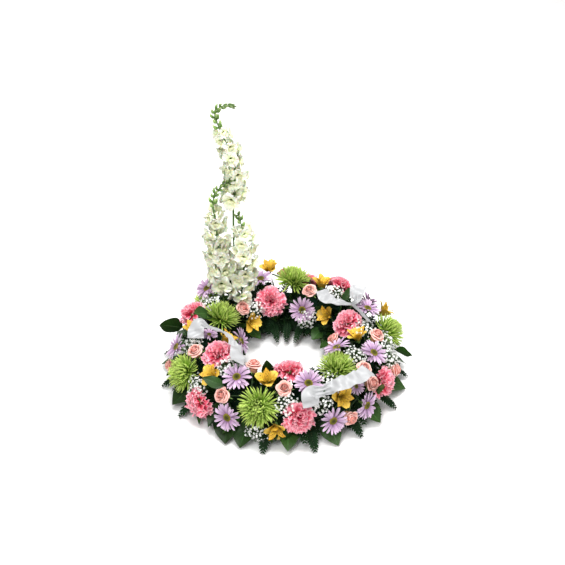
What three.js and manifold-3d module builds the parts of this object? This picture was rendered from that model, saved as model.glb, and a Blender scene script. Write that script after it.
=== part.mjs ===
// A fresh-flower memorial wreath that lies flat: a ring of wet floral foam in a shallow tray, packed with
// carnations, spider chrysanthemums, daisies, alstroemeria, spray roses and baby's breath over a skirt of
// salal leaves and leatherleaf fern, with satin ribbon and three tall snapdragon spikes at the back left.
// Millimetres, +Z up. The origin is the centre of the ring on the tray's flat underside, and the front is -Y.
//
// Places on the ring are given as the florist sees them: "around" is the angle round the ring in degrees,
// counter-clockwise from +X, and "over" is the angle across the mound, from 0 at the outer side through 90 on
// top to 180 at the inner side. "out" is the distance from the mound's heart, the circle both turn about.

import * as THREE from "three";
import { mergeVertices } from "three/addons/utils/BufferGeometryUtils.js";
import Module from "manifold-3d";

const wasm = await Module();
wasm.setup();
const radians = THREE.MathUtils.degToRad;

// Driving dimensions
const HEART = { radius: 152, height: 40 };
const TRAY = { inner: 118, outer: 185, height: 22, wall: 2.4, floor: 2.6 };
const FOAM = { inner: 124, outer: 180, bottom: 3, top: 61, chamfer: 9 };
const FIT = 0.35; // clearance between a stem and its hole, and between the foam and the tray
const ROOT_OUT = 15; // how near a stem's cut end comes to the mound's heart
const HEAD_OUT = 58; // where a stem becomes the flower's calyx
const BREATH_OUT = 55; // where a stem becomes a puff of baby's breath
const CALYX_BELOW = 5; // how far below a head's own frame its stem begins to swell
// A spike's radius, the share of it that is left among the buds, the length of stem for each floret or bud and
// for each straight of its bare part, how many places are tried for its first floret, and how many of those
// straights its hole in the foam is long.
const SNAPDRAGON = { stem: 2.2, topShare: 0.7, spacing: 11.5, bareLength: 60, looks: 200, holeEnd: 1.2 };
const SEEDS = { spray: 20, snapdragon: 60, breath: 80, skirt: 100, inner: 110 };
const UP = new THREE.Vector3(0, 0, 1);
const ALONG_X = new THREE.Vector3(1, 0, 0);
const STEM = { carnation: 2.2, mum: 2.4, daisy: 1.7, alstroemeria: 1.8, rose: 1.8, breath: 1.3 };
const BRANCH_SHARE = 0.9; // of the main stem's radius
const STEM_SIDES = 4;
const BRANCH_SIDES = 3;
const GOLDEN_ANGLE = radians(137.5);
const FOAM_CLEAR = 44; // far enough out to be clear of the foam on every side
const LONGEST_CHORD = 26; // of a twig round the ring, in degrees
const NOTCH_THICKNESS = 1.4; // of a star of petals between two petals
const RIB_SHARE = 0.72; // how far along a petal its rib is deepest
const RING_STEPS = 24;

// Heads. The rows of a layered head are [radius, height, ripple, lift], from its calyx up.
const CARNATION = {
  sides: 10,
  twist: 0.5,
  rows: [[8, 3], [30, 9, 4, -4], [19, 13], [26, 21, 4, 3], [12, 19], [17, 29, 4, 2], [0, 25]],
};
const ROSE = {
  sides: 8,
  twist: 0.8,
  rows: [[10, 6, 1], [14, 20, 3, 3], [9, 16], [10, 25, 2.5, 2], [3.5, 20], [0, 27]],
};
// The ball that a mum's needles grow from and its subdivision, the height of its middle, how far the needles
// reach on top, how much farther at the rim, how uneven that is, and how far their tips curl up.
const MUM = { core: 13, detail: 3, rise: 12, reach: 11, farther: 18, uneven: 5, curl: 3, unevenCurl: 4 };
const DAISY = {
  petals: 10,
  petal: { shoulder: 26, width: 10, height: 17, thickness: 1.6 },
  uneven: 2,
  notch: 8,
  notchHeight: 13,
  crown: [[0, 19]],
};
const SMALL_DAISY = { petals: 8, taller: 1.1 };
const ALSTROEMERIA = {
  petals: [
    { shoulder: 16, width: 14, height: 20, tip: 21, tipHeight: 22, thickness: 1.8 },
    { shoulder: 17, width: 8, height: 24, tip: 23, tipHeight: 27, thickness: 1.8 },
  ],
  uneven: 2,
  notch: 5,
  notchHeight: 12,
  crown: [[0, 6]],
};
// A puff's core, how low its twigs may point, their reach, where along one its bloom is, and the bloom's
// size. clear is the radius that a twig needs free at its foot and its bloom, and sink how far its stem goes
// into the core.
const PUFF = {
  core: 4.5,
  lowest: 0.1,
  reach: 20,
  uneven: 8,
  bloomAt: 0.82,
  bloom: 3,
  clear: [2.6, 3.6],
  sink: 2,
};
// A floret's foot, lips and mouth, and a bud's foot and tip. A ring is [out, half width, above, below], and a
// point is [out, above]. A floret's size falls by smaller from the lowest to the highest.
const FLORET = {
  foot: [7, 3.5, 5, 2],
  lips: [19, 8, 9, 7],
  mouth: [11, 2],
  size: 1.02,
  smaller: 0.3,
  uneven: 0.06,
};
const BUD = { foot: [4, 2.4, 5, 0], tip: [9, 7] };

const COLOURS = {
  tray: ["#26382a", 0.5],
  foam: ["#2f6a45", 0.95],
  carnation: ["#f2809b", 0.8],
  mum: ["#8fc043", 0.7],
  daisy: ["#c5a3d6", 0.7],
  alstroemeria: ["#e2ac28", 0.6],
  rose: ["#f2ac98", 0.7],
  breath: ["#eef0ea", 0.8],
  snapdragon: ["#f0f3dc", 0.7],
  salal: ["#2c6a2c", 0.45],
  fern: ["#1d4422", 0.55],
  ribbon: ["#eceef2", 0.3],
};

// Places, as [around, over]. A spray is one branching stem: its fork [around, over, out] and its heads, each
// with a size where it isn't 1, how far out it stands where it isn't at HEAD_OUT, and the way it faces,
// [around, over], where that isn't straight out.
const CARNATIONS = [
  [162, 52], [214, 96], [104, 134], [53, 47], [8, 117], [224, 2], [274, 113], [277, 20], [329, 15], [76, 12],
];
const MUMS = [
  [83, 89], [165, 113], [208, 27], [257, 36], [307, 84], [4, 36], [137, 12],
];
const DAISIES = [
  { fork: [118, 8, 38], heads: [[142, 57, 1, 70, [205, 62]], [106, 14]] },
  { fork: [73, 141, 38], heads: [[108, 87], [67, 146]] },
  { fork: [17, 8, 43], heads: [[17, 74], [38, 14]] },
  { fork: [186, 140, 38], heads: [[191, 38], [176, 163], [192, 96, 0.62]] },
  { fork: [235, 38, 38], heads: [[241, 71], [243, 8]] },
  { fork: [312, 38, 38], heads: [[284, 71], [310, 43, 0.62], [293, 8], [312, 8]] },
  { fork: [321, 125, 38], heads: [[327, 120], [334, 63]] },
];
const ALSTROEMERIAS = [
  { fork: [71, 63, 43], heads: [[99, 56, 1, 73, [200, 80]], [61, 83]] },
  { fork: [136, 158, 43], heads: [[136, 158]] },
  { fork: [0, 143, 38], heads: [[34, 138], [346, 97]] },
  { fork: [44, 38, 43], heads: [[21, 33, 1, 67], [57, 8]] },
  { fork: [201, 80, 43], heads: [[183, 70], [196, 126]] },
  { fork: [226, 56, 43], heads: [[226, 56]] },
  { fork: [267, 86, 43], heads: [[259, 81], [266, 2]] },
  { fork: [300, 38, 43], heads: [[300, 38]] },
];
const ROSES = [
  { fork: [59, 31, 38], heads: [[90, 37], [65, 112]] },
  { fork: [114, 132, 43], heads: [[120, 38], [140, 129]] },
  { fork: [348, 68, 43], heads: [[350, 69], [341, 11], [348, 140]] },
  { fork: [317, 2, 38], heads: [[320, 58], [319, 34], [302.4, 0]] },
  { fork: [250, 52, 43], heads: [[246, 104], [270, 66], [238, 38]] },
  { fork: [195, 6, 43], heads: [[205, 65], [193, 4]] },
];

const BREATH = [
  { fork: [52, 132, 43], heads: [[45, 98], [60, 160]] },
  { fork: [144, 112, 43], heads: [[125, 140], [155, 80]] },
  { fork: [344, 68, 43], heads: [[325, 84], [350, 52], [343, 28], [356, 90]] },
  { fork: [288, 50, 43], heads: [[297, 66], [289, 40], [271, 42], [257.2, -12]] },
  { fork: [218, 58, 43], heads: [[221, 28], [229, 82], [197, 66]] },
];
// Snapdragon spikes: the stem's path, and the heights between which it flowers. Above that it has buds.
const SNAPDRAGONS = [
  {
    flowers: [302, 452],
    path: [
      [-96, 124, 20], [-99, 126, 180], [-97, 128, 300], [-92, 128, 345], [-96, 128, 392], [-108, 128, 432],
      [-120, 128, 464], [-125, 128, 487], [-119, 128, 500], [-104, 128, 506], [-88, 128, 505],
    ],
  },
  {
    flowers: [122, 300],
    path: [
      [-118, 104, 20], [-122, 108, 90], [-126, 111, 150], [-130, 112, 215], [-131, 112, 265],
      [-135, 112, 305], [-130, 112, 331], [-117, 112, 346], [-104, 112, 356], [-92, 112, 363],
    ],
  },
  {
    flowers: [98, 262],
    path: [
      [-87, 99, 20], [-86, 103, 84], [-81, 104, 150], [-76, 104, 205], [-78, 104, 246], [-84, 104, 276],
      [-89, 104, 294],
    ],
  },
];
// Salal: leaves lie out from a twig at each angle round the ring. Upper leaves stand up among the flowers:
// where on the twig their stalk starts, the foot and the tip of the blade as [around, over, out], half its width,
// and the way it faces where that isn't straight out. widths are shares of that half width along a blade.
const SALAL = { arch: 4, stalk: 1.6, along: [0, 0.3, 0.68, 1], widths: [0, 0.92, 1, 0], lift: 0.14 };
const LEAF_SPREAD = { turn: 6, shortest: 0.92, uneven: 0.16 }; // how unlike each other a twig's leaves are
const PAST_TWIG = 6; // how far beyond a twig the hole for its root is cut
const TWIG_INSET = 0.5; // how far inside its twig's middle a leaf or frond starts
const SKIRT = { radius: 190, height: 26.5, reach: 62, droop: 22, width: 18 };
const SKIRT_TWIGS = [
  { leaves: [3, 26, 48, 71, 95, 118], uppers: [[8.6, [358, 10, 66], [353, 8, 98], 12]] },
  {
    leaves: [140, 161, 183, 206, 237],
    uppers: [[168.3, [166, 20, 60], [173, 24, 104], 18], [228, [237, 51, 73], [227, 48, 92], 10]],
  },
  { leaves: [251, 272, 294, 317, 340], uppers: [[333.8, [320, 21, 72], [318, 30, 103], 10]] },
];
const INNER = { radius: 114, height: 33, reach: 44, droop: 11, width: 14 };
const INNER_TWIGS = [
  { leaves: [22, 46], uppers: [[28, [34, 100, 66], [30, 84, 96], 14]] },
  {
    leaves: [130, 172],
    uppers: [[151, [167, 95, 67], [179, 77, 93], 16, [250, 60]], [132.5, [137, 96, 77], [135, 81, 112], 10]],
  },
  { leaves: [232, 262, 292, 322], uppers: [[246.6, [256, 143, 50], [254, 116, 80], 12, [270, 30]]] },
];
// Fern: a frond is cut to its rib between leaflets. rib is half the rib's thickness, and valley half its width.
const FROND = { rib: 0.7, valley: 1.6, end: 0.94, lean: 1.5, narrowest: 0.25, spread: 0.68 };
const FERN_TWIG = 1.3;
const FERN = { radius: 190.5, height: 32.5, reach: 54, droop: 27, width: 12, leaflets: 5, arch: 6 };
const FERN_TWIGS = [
  [150, 172, 195, 217, 261], [283, 305, 329, 352, 15, 37],
];
const INNER_FERN = { radius: 114, height: 33, reach: 50, droop: 20, width: 9, leaflets: 5, arch: 4 };
const INNER_FRONDS = [70, 86, 102];
// Ribbon: 30 mm satin, gathered at a knot on its wire pick. A path's points are
// [around, over, out, roll, width]: roll turns the ribbon about its own line, and it is narrow at the knot.
const RIBBON = { thickness: 0.8, pick: 1.3 };
const RIBBONS = [
  {
    pick: [297, 90],
    knot: [290, 53, 85],
    paths: [
      [
        [316, 53, 96, 30, 30], [307, 53, 102, 30, 30], [299, 54, 99, 30, 30], [294, 54, 93, 20, 26],
        [290, 53, 85, 0, 16], [285, 53, 92, 0, 25], [282, 50, 96, 0, 29], [282, 44, 94, 0, 30],
        [282, 38, 90, 0, 29],
      ],
    ],
  },
  {
    pick: [204, 112],
    knot: [204, 107, 93],
    paths: [
      [
        [200, 74, 84, 15, 30], [197, 78, 94, 15, 30], [193, 84, 97, 15, 26], [195, 92, 92, 0, 12],
        [199, 100, 91, -10, 8], [204, 107, 93, -10, 8], [215, 109, 95, -15, 16], [227, 103, 95, -25, 27],
        [235, 93, 93, -35, 30], [239, 83, 90, -35, 30],
      ],
    ],
  },
  {
    pick: [27, 118],
    knot: [19, 98, 82],
    paths: [
      [
        [49, 114, 96, -30, 30], [39, 119, 96, -30, 30], [29, 117, 95, -25, 27], [22, 108, 89, -10, 15],
        [19, 98, 82, 0, 8], [18, 93, 91, 0, 17], [21, 90, 98, 0, 27], [26, 85, 102, 0, 30],
        [30, 77, 98, 0, 30],
      ],
      [[19, 98, 82, 0, 7], [10, 96, 88, 0, 7], [0, 91, 91, 0, 7], [-6, 83, 87, 0, 6]],
    ],
  },
];

// The direction out of the mound at a place, and the point that far out of its heart.
function outward(around, over) {
  const a = radians(around);
  const o = radians(over);
  return new THREE.Vector3(Math.cos(o) * Math.cos(a), Math.cos(o) * Math.sin(a), Math.sin(o));
}
function onRing(around, over, out) {
  const a = radians(around);
  const heart = new THREE.Vector3(HEART.radius * Math.cos(a), HEART.radius * Math.sin(a), HEART.height);
  return heart.addScaledVector(outward(around, over), out);
}

// A repeatable random number from 0 to 1.
function seeded(seed) {
  let state = seed * 2654435761 + 12345;
  return () => {
    state = (state + 0x6d2b79f5) | 0;
    let t = Math.imul(state ^ (state >>> 15), 1 | state);
    t = (t + Math.imul(t ^ (t >>> 7), 61 | t)) ^ t;
    return ((t ^ (t >>> 14)) >>> 0) / 4294967296;
  };
}

// Solids

// A closed solid from its points and triangles, turned right side out.
function closed(points, faces) {
  const make = (triVerts) =>
    new wasm.Manifold(
      new wasm.Mesh({
        numProp: 3,
        vertProperties: new Float32Array(points.flatMap((p) => [p.x, p.y, p.z])),
        triVerts: new Uint32Array(triVerts.flat()),
      }),
    );
  const made = make(faces);
  return made.volume() < 0 ? make(faces.map(([a, b, c]) => [a, c, b])) : made;
}

// Joins two rings of point numbers, the high one above the low one, whatever their counts.
function stitch(faces, low, high) {
  const [below, above] = [low, high].map((ring) => (ring.length > 1 ? ring.length : 0));
  let [i, j] = [0, 0];
  while (i < below || j < above) {
    if (i < below && (j === above || (i + 1) / below <= (j + 1) / above)) {
      faces.push([low[i], low[(i + 1) % below], high[j % high.length]]);
      i += 1;
    } else {
      faces.push([high[(j + 1) % above], high[j], low[i % low.length]]);
      j += 1;
    }
  }
}
function cap(faces, ring, faceDown) {
  for (let i = 1; i + 1 < ring.length; i++) {
    faces.push(faceDown ? [ring[0], ring[i + 1], ring[i]] : [ring[0], ring[i], ring[i + 1]]);
  }
}

// A skin over rings of points, from the lowest to the highest. A ring of one point is a tip.
function loft(rings) {
  let next = 0;
  const numbers = rings.map((ring) => ring.map(() => next++));
  const faces = [];
  for (let k = 0; k + 1 < rings.length; k++) stitch(faces, numbers[k], numbers[k + 1]);
  cap(faces, numbers[0], true);
  cap(faces, numbers[numbers.length - 1], false);
  return closed(rings.flat(), faces);
}

// The plane across a path at each of its points: two unit vectors that turn with it as little as they can.
function framesAlong(path, hint = UP) {
  let side = hint.clone();
  return path.map((p, i) => {
    const ahead = path[Math.min(i + 1, path.length - 1)].clone().sub(path[Math.max(i - 1, 0)]).normalize();
    side = side.clone().addScaledVector(ahead, -side.dot(ahead));
    if (side.lengthSq() < 1e-6) side.set(1, 0.3, 0).addScaledVector(ahead, -ahead.x);
    side.normalize();
    return { side, cross: new THREE.Vector3().crossVectors(ahead, side) };
  });
}

// The rings of a stem or needle along a path. Its radius is one number, or one for each point, and a radius of
// 0 makes a tip.
function ringsAlong(path, radius, sides = STEM_SIDES, hint) {
  const frames = framesAlong(path, hint);
  return path.map((p, i) => {
    const r = Array.isArray(radius) ? radius[i] : radius;
    if (r === 0) return [p];
    return Array.from({ length: sides }, (_, k) => {
      const turn = (2 * Math.PI * k) / sides;
      return p
        .clone()
        .addScaledVector(frames[i].side, r * Math.cos(turn))
        .addScaledVector(frames[i].cross, r * Math.sin(turn));
    });
  });
}
const rod = (path, radius, sides, hint) => loft(ringsAlong(path, radius, sides, hint));

// A leaf blade along a path: half its width at each point, its thickness at the midrib, how far the edges lift
// above that, and the way it faces.
function blade(path, halfWidths, { thickness, lift, up }) {
  const frames = framesAlong(path, up);
  return loft(
    path.map((p, i) => {
      const w = halfWidths[i];
      if (w === 0) return [p];
      const { side: normal, cross } = frames[i];
      const at = (across, height) => p.clone().addScaledVector(cross, across).addScaledVector(normal, height);
      return [at(-w, lift * w), at(0, thickness / 2), at(w, lift * w), at(0, -thickness / 2)];
    }),
  );
}

// A head on its stem, in rows about the Z axis. Each row is [radius, height, ripple, lift]: every second point
// of the row is moved in by the ripple and down by the lift, which frays the edge of a layer of petals. A row
// of radius 0 is a tip, and the stem is rings of points that end below the first row.
function layered(stem, { rows, sides, twist }) {
  const layers = rows.map(([radius, height, ripple = 0, lift = 0], k) => {
    if (radius === 0) return [new THREE.Vector3(0, 0, height)];
    return Array.from({ length: sides }, (_, i) => {
      const turn = (2 * Math.PI * (i + k * twist)) / sides;
      const r = radius - (i % 2) * ripple;
      return new THREE.Vector3(r * Math.cos(turn), r * Math.sin(turn), height - (i % 2) * lift);
    });
  });
  return loft([...stem, ...layers]);
}

// Closes a head with its stem: from the head's lowest ring of point numbers down through the stem's rings.
function closeWithStem(points, faces, rim, stem) {
  let upper = rim;
  for (const ring of stem.toReversed()) {
    const lower = ring.map((p) => points.push(p) - 1);
    stitch(faces, lower, upper);
    upper = lower;
  }
  cap(faces, upper, true);
  return closed(points, faces);
}

// A star of petals round a middle, in one thin shell. Each petal has a notch point on either side of its
// foot, two shoulders, a tip if it has one, and a rib below.
function star(stem, petals, { notch, notchHeight, crown }) {
  const points = [];
  const faces = [];
  const count = petals.length;
  const step = (2 * Math.PI) / count;
  const add = (radius, turn, height) =>
    points.push(new THREE.Vector3(radius * Math.cos(turn), radius * Math.sin(turn), height)) - 1;
  const row = (radius, height) => petals.map((_, i) => add(radius, (i - 0.5) * step, height));
  const above = row(notch, notchHeight + NOTCH_THICKNESS / 2);
  const below = row(notch, notchHeight - NOTCH_THICKNESS / 2);
  let inner = above;
  for (const [radius, height] of crown) {
    const next = radius === 0 ? [add(0, 0, height)] : row(radius, height);
    inner.forEach((p, i) => {
      const j = (i + 1) % count;
      if (next.length === 1) faces.push([p, inner[j], next[0]]);
      else faces.push([p, inner[j], next[j]], [p, next[j], next[i]]);
    });
    inner = next;
  }
  petals.forEach((petal, i) => {
    const j = (i + 1) % count;
    const turn = i * step;
    const half = Math.asin(Math.min(0.9, petal.width / 2 / petal.shoulder));
    const edge = [-half, half].map((aside) => add(petal.shoulder, turn + aside, petal.height));
    if (petal.tip) edge.splice(1, 0, add(petal.tip, turn, petal.tipHeight));
    const rib = add(petal.shoulder * RIB_SHARE, turn, (notchHeight + petal.height) / 2 - petal.thickness);
    const under = [below[i], ...edge, below[j]];
    edge.forEach((p, k) => faces.push([above[i], p, edge[k + 1] ?? above[j]]));
    under.forEach((p, k) => faces.push([under[(k + 1) % under.length], p, rib]));
    faces.push([below[i], edge[0], above[i]], [above[j], edge[edge.length - 1], below[j]]);
  });
  return closeWithStem(points, faces, below, stem);
}

const union = (solids) => wasm.Manifold.union(solids);

// Flower heads, each in its own frame: the calyx at the origin and the face towards +Z, with the rings of the
// stem that carries it, from its root to the calyx.

const carnationHead = (stem) => layered(stem, CARNATION);
const roseHead = (stem) => layered(stem, ROSE);

// A small core with its faces drawn out. needle gives the points of a face's needle, from its foot to its tip,
// with a size for each that is 0 at the tip, or nothing for a face that stays.
function drawnOut(core, needle) {
  const at = core.getAttribute("position");
  const points = [];
  const keys = new Map();
  const faces = [];
  const add = (p) => {
    const key = p.toArray().map((x) => Math.round(x * 100)).join();
    if (!keys.has(key)) keys.set(key, points.push(p.clone()) - 1);
    return keys.get(key);
  };
  for (let i = 0; i < at.count; i += 3) {
    const corners = [0, 1, 2].map((k) => new THREE.Vector3().fromBufferAttribute(at, i + k));
    const middle = corners.reduce((sum, p) => sum.add(p), new THREE.Vector3()).divideScalar(3);
    const steps = needle(middle);
    let ring = corners.map(add);
    if (!steps) {
      faces.push(ring);
      continue;
    }
    for (const [place, size] of steps) {
      const around = corners.map((p) => p.clone().sub(middle).setLength(size).add(place));
      const next = size ? around.map(add) : [add(place)];
      for (let k = 0; k < 3; k++) {
        const j = (k + 1) % 3;
        if (next.length === 1) faces.push([ring[k], ring[j], next[0]]);
        else faces.push([ring[k], ring[j], next[j]], [ring[k], next[j], next[k]]);
      }
      ring = next;
    }
  }
  return { points, faces };
}

function mumHead(stem, random) {
  const dome = new THREE.OctahedronGeometry(MUM.core, MUM.detail);
  const at = dome.getAttribute("position");
  const upper = [];
  for (let i = 0; i < at.count; i += 3) {
    const corners = [0, 1, 2].map((k) => new THREE.Vector3().fromBufferAttribute(at, i + k));
    if (corners.reduce((sum, p) => sum + p.z, 0) > 1e-3) upper.push(...corners);
  }
  const middleOfDome = new THREE.Vector3(0, 0, MUM.rise);
  const core = new THREE.BufferGeometry().setFromPoints(upper.map((p) => p.add(middleOfDome)));
  const { points, faces } = drawnOut(core, (middle) => {
    const way = middle.clone().sub(middleOfDome).normalize();
    const reach = MUM.reach + MUM.farther * (1 - way.z) + MUM.uneven * random();
    const tip = middle.clone().addScaledVector(way, reach);
    tip.z += MUM.curl + MUM.unevenCurl * random();
    return [[tip, 0]];
  });
  const rim = points
    .map((p, i) => [i, Math.atan2(p.y, p.x), p])
    .filter(([, , p]) => Math.abs(p.z - MUM.rise) < 1e-3 && Math.abs(Math.hypot(p.x, p.y) - MUM.core) < 1e-2)
    .map(([i, turn]) => [i, turn < -1e-6 ? turn + 2 * Math.PI : turn])
    .sort((a, b) => a[1] - b[1])
    .map(([i]) => i);
  return closeWithStem(points, faces, rim, stem);
}

function daisyHead(stem, random, size) {
  const isSmall = size < 1;
  const petals = Array.from({ length: isSmall ? SMALL_DAISY.petals : DAISY.petals }, () => ({
    shoulder: (DAISY.petal.shoulder + DAISY.uneven * random()) * size,
    width: DAISY.petal.width * size,
    height: (DAISY.petal.height + DAISY.uneven * random()) * (isSmall ? SMALL_DAISY.taller : 1),
    thickness: DAISY.petal.thickness,
  }));
  return star(stem, petals, { ...DAISY, notch: DAISY.notch * size });
}

function alstroemeriaHead(stem, random) {
  const petals = [0, 1, 2].flatMap(() =>
    ALSTROEMERIA.petals.map((petal) => ({ ...petal, height: petal.height + ALSTROEMERIA.uneven * random() })),
  );
  return star(stem, petals, ALSTROEMERIA);
}

// A puff of baby's breath: twigs from a small core, each with a bloom at its end that is larger than life.
function breathPuff(random, isFree) {
  const { points, faces } = drawnOut(new THREE.IcosahedronGeometry(PUFF.core, 0), (middle) => {
    const way = middle.clone().normalize();
    if (way.z < PUFF.lowest) return null;
    const reach = PUFF.reach + PUFF.uneven * random();
    const [bloom, tip] = [PUFF.bloomAt, 1].map((share) => way.clone().multiplyScalar(reach * share));
    return isFree(middle, bloom, tip) ? [[bloom, PUFF.bloom], [tip, 0]] : null;
  });
  return closed(points, faces);
}

// Placing

// Turns a head's own frame to its place: +Z the way it faces, out of the mound unless told, and +X level.
function headMatrix(around, over, out = HEAD_OUT, spin = 0, face = [around, over]) {
  const z = outward(...face);
  const x = new THREE.Vector3(-Math.sin(radians(face[0])), Math.cos(radians(face[0])), 0);
  const y = new THREE.Vector3().crossVectors(z, x);
  const turned = new THREE.Matrix4().makeBasis(x, y, z).setPosition(onRing(around, over, out));
  return turned.multiply(new THREE.Matrix4().makeRotationZ(spin));
}
const placed = (solid, matrix) => solid.transform(matrix.elements);

// Every stem that stands in the foam, so that the foam gets its hole. Returns the stem's cut end.
const holes = [];
function rootIn(around, over, radius) {
  const beyond = onRing(around, over, HEAD_OUT);
  const before = onRing(around, over, ROOT_OUT - FIT);
  holes.push(rod([before, beyond], radius / Math.cos(Math.PI / STEM_SIDES) + FIT));
  return onRing(around, over, ROOT_OUT);
}

// A point at an angle round the ring, at a radius from its centre and a height above the table.
function atRadius(around, radius, height) {
  const a = radians(around);
  return new THREE.Vector3(radius * Math.cos(a), radius * Math.sin(a), height);
}

// What foliage has to keep clear of: every solid placed so far, with its bounding box.
const taken = [];
function take(solid) {
  taken.push({ solid, box: solid.boundingBox() });
}
function isClear(probe) {
  const box = probe.boundingBox();
  return taken.every(
    (other) =>
      [0, 1, 2].some((k) => box.min[k] > other.box.max[k] || other.box.min[k] > box.max[k]) ||
      probe.intersect(other.solid).isEmpty(),
  );
}

const wreath = new THREE.Group();
wreath.name = "floral_wreath";

function addMesh(name, solid, look, matrix) {
  const mesh = solid.getMesh();
  const geometry = new THREE.BufferGeometry();
  geometry.setAttribute("position", new THREE.BufferAttribute(mesh.vertProperties, 3));
  geometry.setIndex(new THREE.BufferAttribute(mesh.triVerts, 1));
  geometry.computeVertexNormals();
  const [color, roughness] = COLOURS[look];
  const made = new THREE.Mesh(geometry, new THREE.MeshStandardMaterial({ color, roughness, metalness: 0 }));
  made.name = name;
  if (matrix) matrix.decompose(made.position, made.quaternion, made.scale);
  wreath.add(made);
  take(matrix ? placed(solid, matrix) : solid);
}

// A head and the stem that carries it, along a path from the stem's root to the calyx.
function bloomOn(path, radius, sides, head, matrix, random, size) {
  const inverse = matrix.clone().invert();
  const own = path.map((p) => p.clone().applyMatrix4(inverse));
  return head(ringsAlong(own, radius, sides, ALONG_X), random, size);
}

// Blooms on stems of their own: the stem runs straight back from the head into the foam.
function addSingles(kind, places, head) {
  places.forEach(([around, over], i) => {
    const matrix = headMatrix(around, over);
    const path = [rootIn(around, over, STEM[kind]), onRing(around, over, HEAD_OUT - CALYX_BELOW)];
    const solid = bloomOn(path, STEM[kind], STEM_SIDES, head, matrix, seeded(i + 1));
    addMesh(`${kind}_${i + 1}`, solid, kind, matrix);
  });
}
addSingles("carnation", CARNATIONS, carnationHead);
addSingles("mum", MUMS, mumHead);

// Sprays: several heads on one branching stem. The first head ends the main stem, and the rest branch off it.
function addSprays(kind, sprays, head) {
  sprays.forEach(({ fork: [around, over, forkOut], heads }, i) => {
    const random = seeded(SEEDS.spray + i);
    const root = rootIn(around, over, STEM[kind]);
    const fork = onRing(around, over, forkOut);
    const parts = heads.map(([a, o, size = 1, out = HEAD_OUT, face], n) => {
      const matrix = headMatrix(a, o, out, random(), face);
      const calyx = new THREE.Vector3(0, 0, -CALYX_BELOW * size).applyMatrix4(matrix);
      const path = n === 0 ? [root, fork, calyx] : [fork, calyx];
      const [radius, sides] = n === 0 ? [STEM[kind], STEM_SIDES] : [STEM[kind] * BRANCH_SHARE, BRANCH_SIDES];
      return placed(bloomOn(path, radius, sides, head, matrix, random, size), matrix);
    });
    addMesh(`${kind}_spray_${i + 1}`, union(parts), kind);
  });
}
addSprays("daisy", DAISIES, daisyHead);
addSprays("alstroemeria", ALSTROEMERIAS, alstroemeriaHead);
addSprays("rose", ROSES, roseHead);

// A snapdragon spike: a square stem in short lengths, with one face of each length drawn out into a floret, or
// into a pointed bud near the top, so that they wind up the stem at the golden angle.
function addSnapdragon({ path, flowers }, index) {
  const bend = new THREE.CatmullRomCurve3(path.map((p) => new THREE.Vector3(...p)));
  const height = bend.getLength();
  const random = seeded(SEEDS.snapdragon + index);
  const [low, high] = flowers;
  const looks = Array.from({ length: SNAPDRAGON.looks }, (_, k) => k / SNAPDRAGON.looks);
  const start = looks.find((share) => bend.getPointAt(share).z > low);
  const bare = Math.ceil((start * height) / SNAPDRAGON.bareLength);
  const flowering = Math.floor(((1 - start) * height) / SNAPDRAGON.spacing);
  const shares = Array.from({ length: bare }, (_, k) => (start * k) / bare);
  for (let k = 0; k < flowering; k++) shares.push(start + ((1 - start) * k) / flowering);
  const middles = shares.map((share) => bend.getPointAt(share));
  const radii = middles.map((p) => SNAPDRAGON.stem * (p.z < high ? 1 : SNAPDRAGON.topShare));
  const points = ringsAlong([...middles, bend.getPointAt(1)], [...radii, 0], STEM_SIDES, ALONG_X).flat();
  const tip = points.length - 1;
  const faces = [];
  cap(faces, [0, 1, 2, 3], true);
  const number = (k, s) => k * STEM_SIDES + (s % STEM_SIDES);
  const drawOut = (quad, steps) => {
    let ring = quad;
    for (const step of steps) {
      const next = step.map((p) => points.push(p) - 1);
      stitch(faces, ring, next);
      ring = next;
    }
  };
  let turn = 0;
  for (let k = 0; k < middles.length; k++) {
    turn += GOLDEN_ANGLE;
    const face = Math.floor(((turn / (2 * Math.PI)) % 1) * STEM_SIDES);
    for (let s = 0; s < STEM_SIDES; s++) {
      if (k === middles.length - 1) {
        faces.push([number(k, s), number(k, s + 1), tip]);
        continue;
      }
      const quad = [number(k, s), number(k, s + 1), number(k + 1, s + 1), number(k + 1, s)];
      if (k < bare || s !== face) {
        faces.push([quad[0], quad[1], quad[2]], [quad[0], quad[2], quad[3]]);
        continue;
      }
      const corners = quad.map((n) => points[n]);
      const foot = corners.reduce((sum, p) => sum.add(p), new THREE.Vector3()).divideScalar(4);
      const up = corners[3].clone().add(corners[2]).sub(corners[0]).sub(corners[1]).normalize();
      const side = corners[1].clone().sub(corners[0]).normalize();
      const way = new THREE.Vector3().crossVectors(side, up).normalize();
      const place = (out, x, y) =>
        foot.clone().addScaledVector(way, out).addScaledVector(side, x).addScaledVector(up, y);
      const ring = ([out, across, above, below]) => {
        const outline = [[-across, -below], [across, -below], [across, above], [-across, above]];
        return outline.map(([x, y]) => place(out, x, y));
      };
      if (foot.z < high) {
        const size = FLORET.size - (FLORET.smaller * (foot.z - low)) / (high - low) + FLORET.uneven * random();
        const [mouthOut, mouthAbove] = FLORET.mouth;
        const [footOut, ...footSizes] = FLORET.foot;
        drawOut(quad, [
          ring([footOut * size, ...footSizes]),
          ring(FLORET.lips.map((length) => length * size)),
          [place(mouthOut * size, 0, mouthAbove)],
        ]);
      } else {
        const [tipOut, tipAbove] = BUD.tip;
        drawOut(quad, [ring(BUD.foot), [place(tipOut, 0, tipAbove)]]);
      }
    }
  }
  addMesh(`snapdragon_${index + 1}`, closed(points, faces), "snapdragon");
  const [foot, above] = middles;
  const before = foot.clone().setZ(foot.z - FIT);
  const hole = SNAPDRAGON.stem / Math.cos(Math.PI / STEM_SIDES) + FIT;
  holes.push(rod([before, foot.clone().lerp(above, SNAPDRAGON.holeEnd)], hole, STEM_SIDES, ALONG_X));
}
SNAPDRAGONS.forEach(addSnapdragon);

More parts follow.
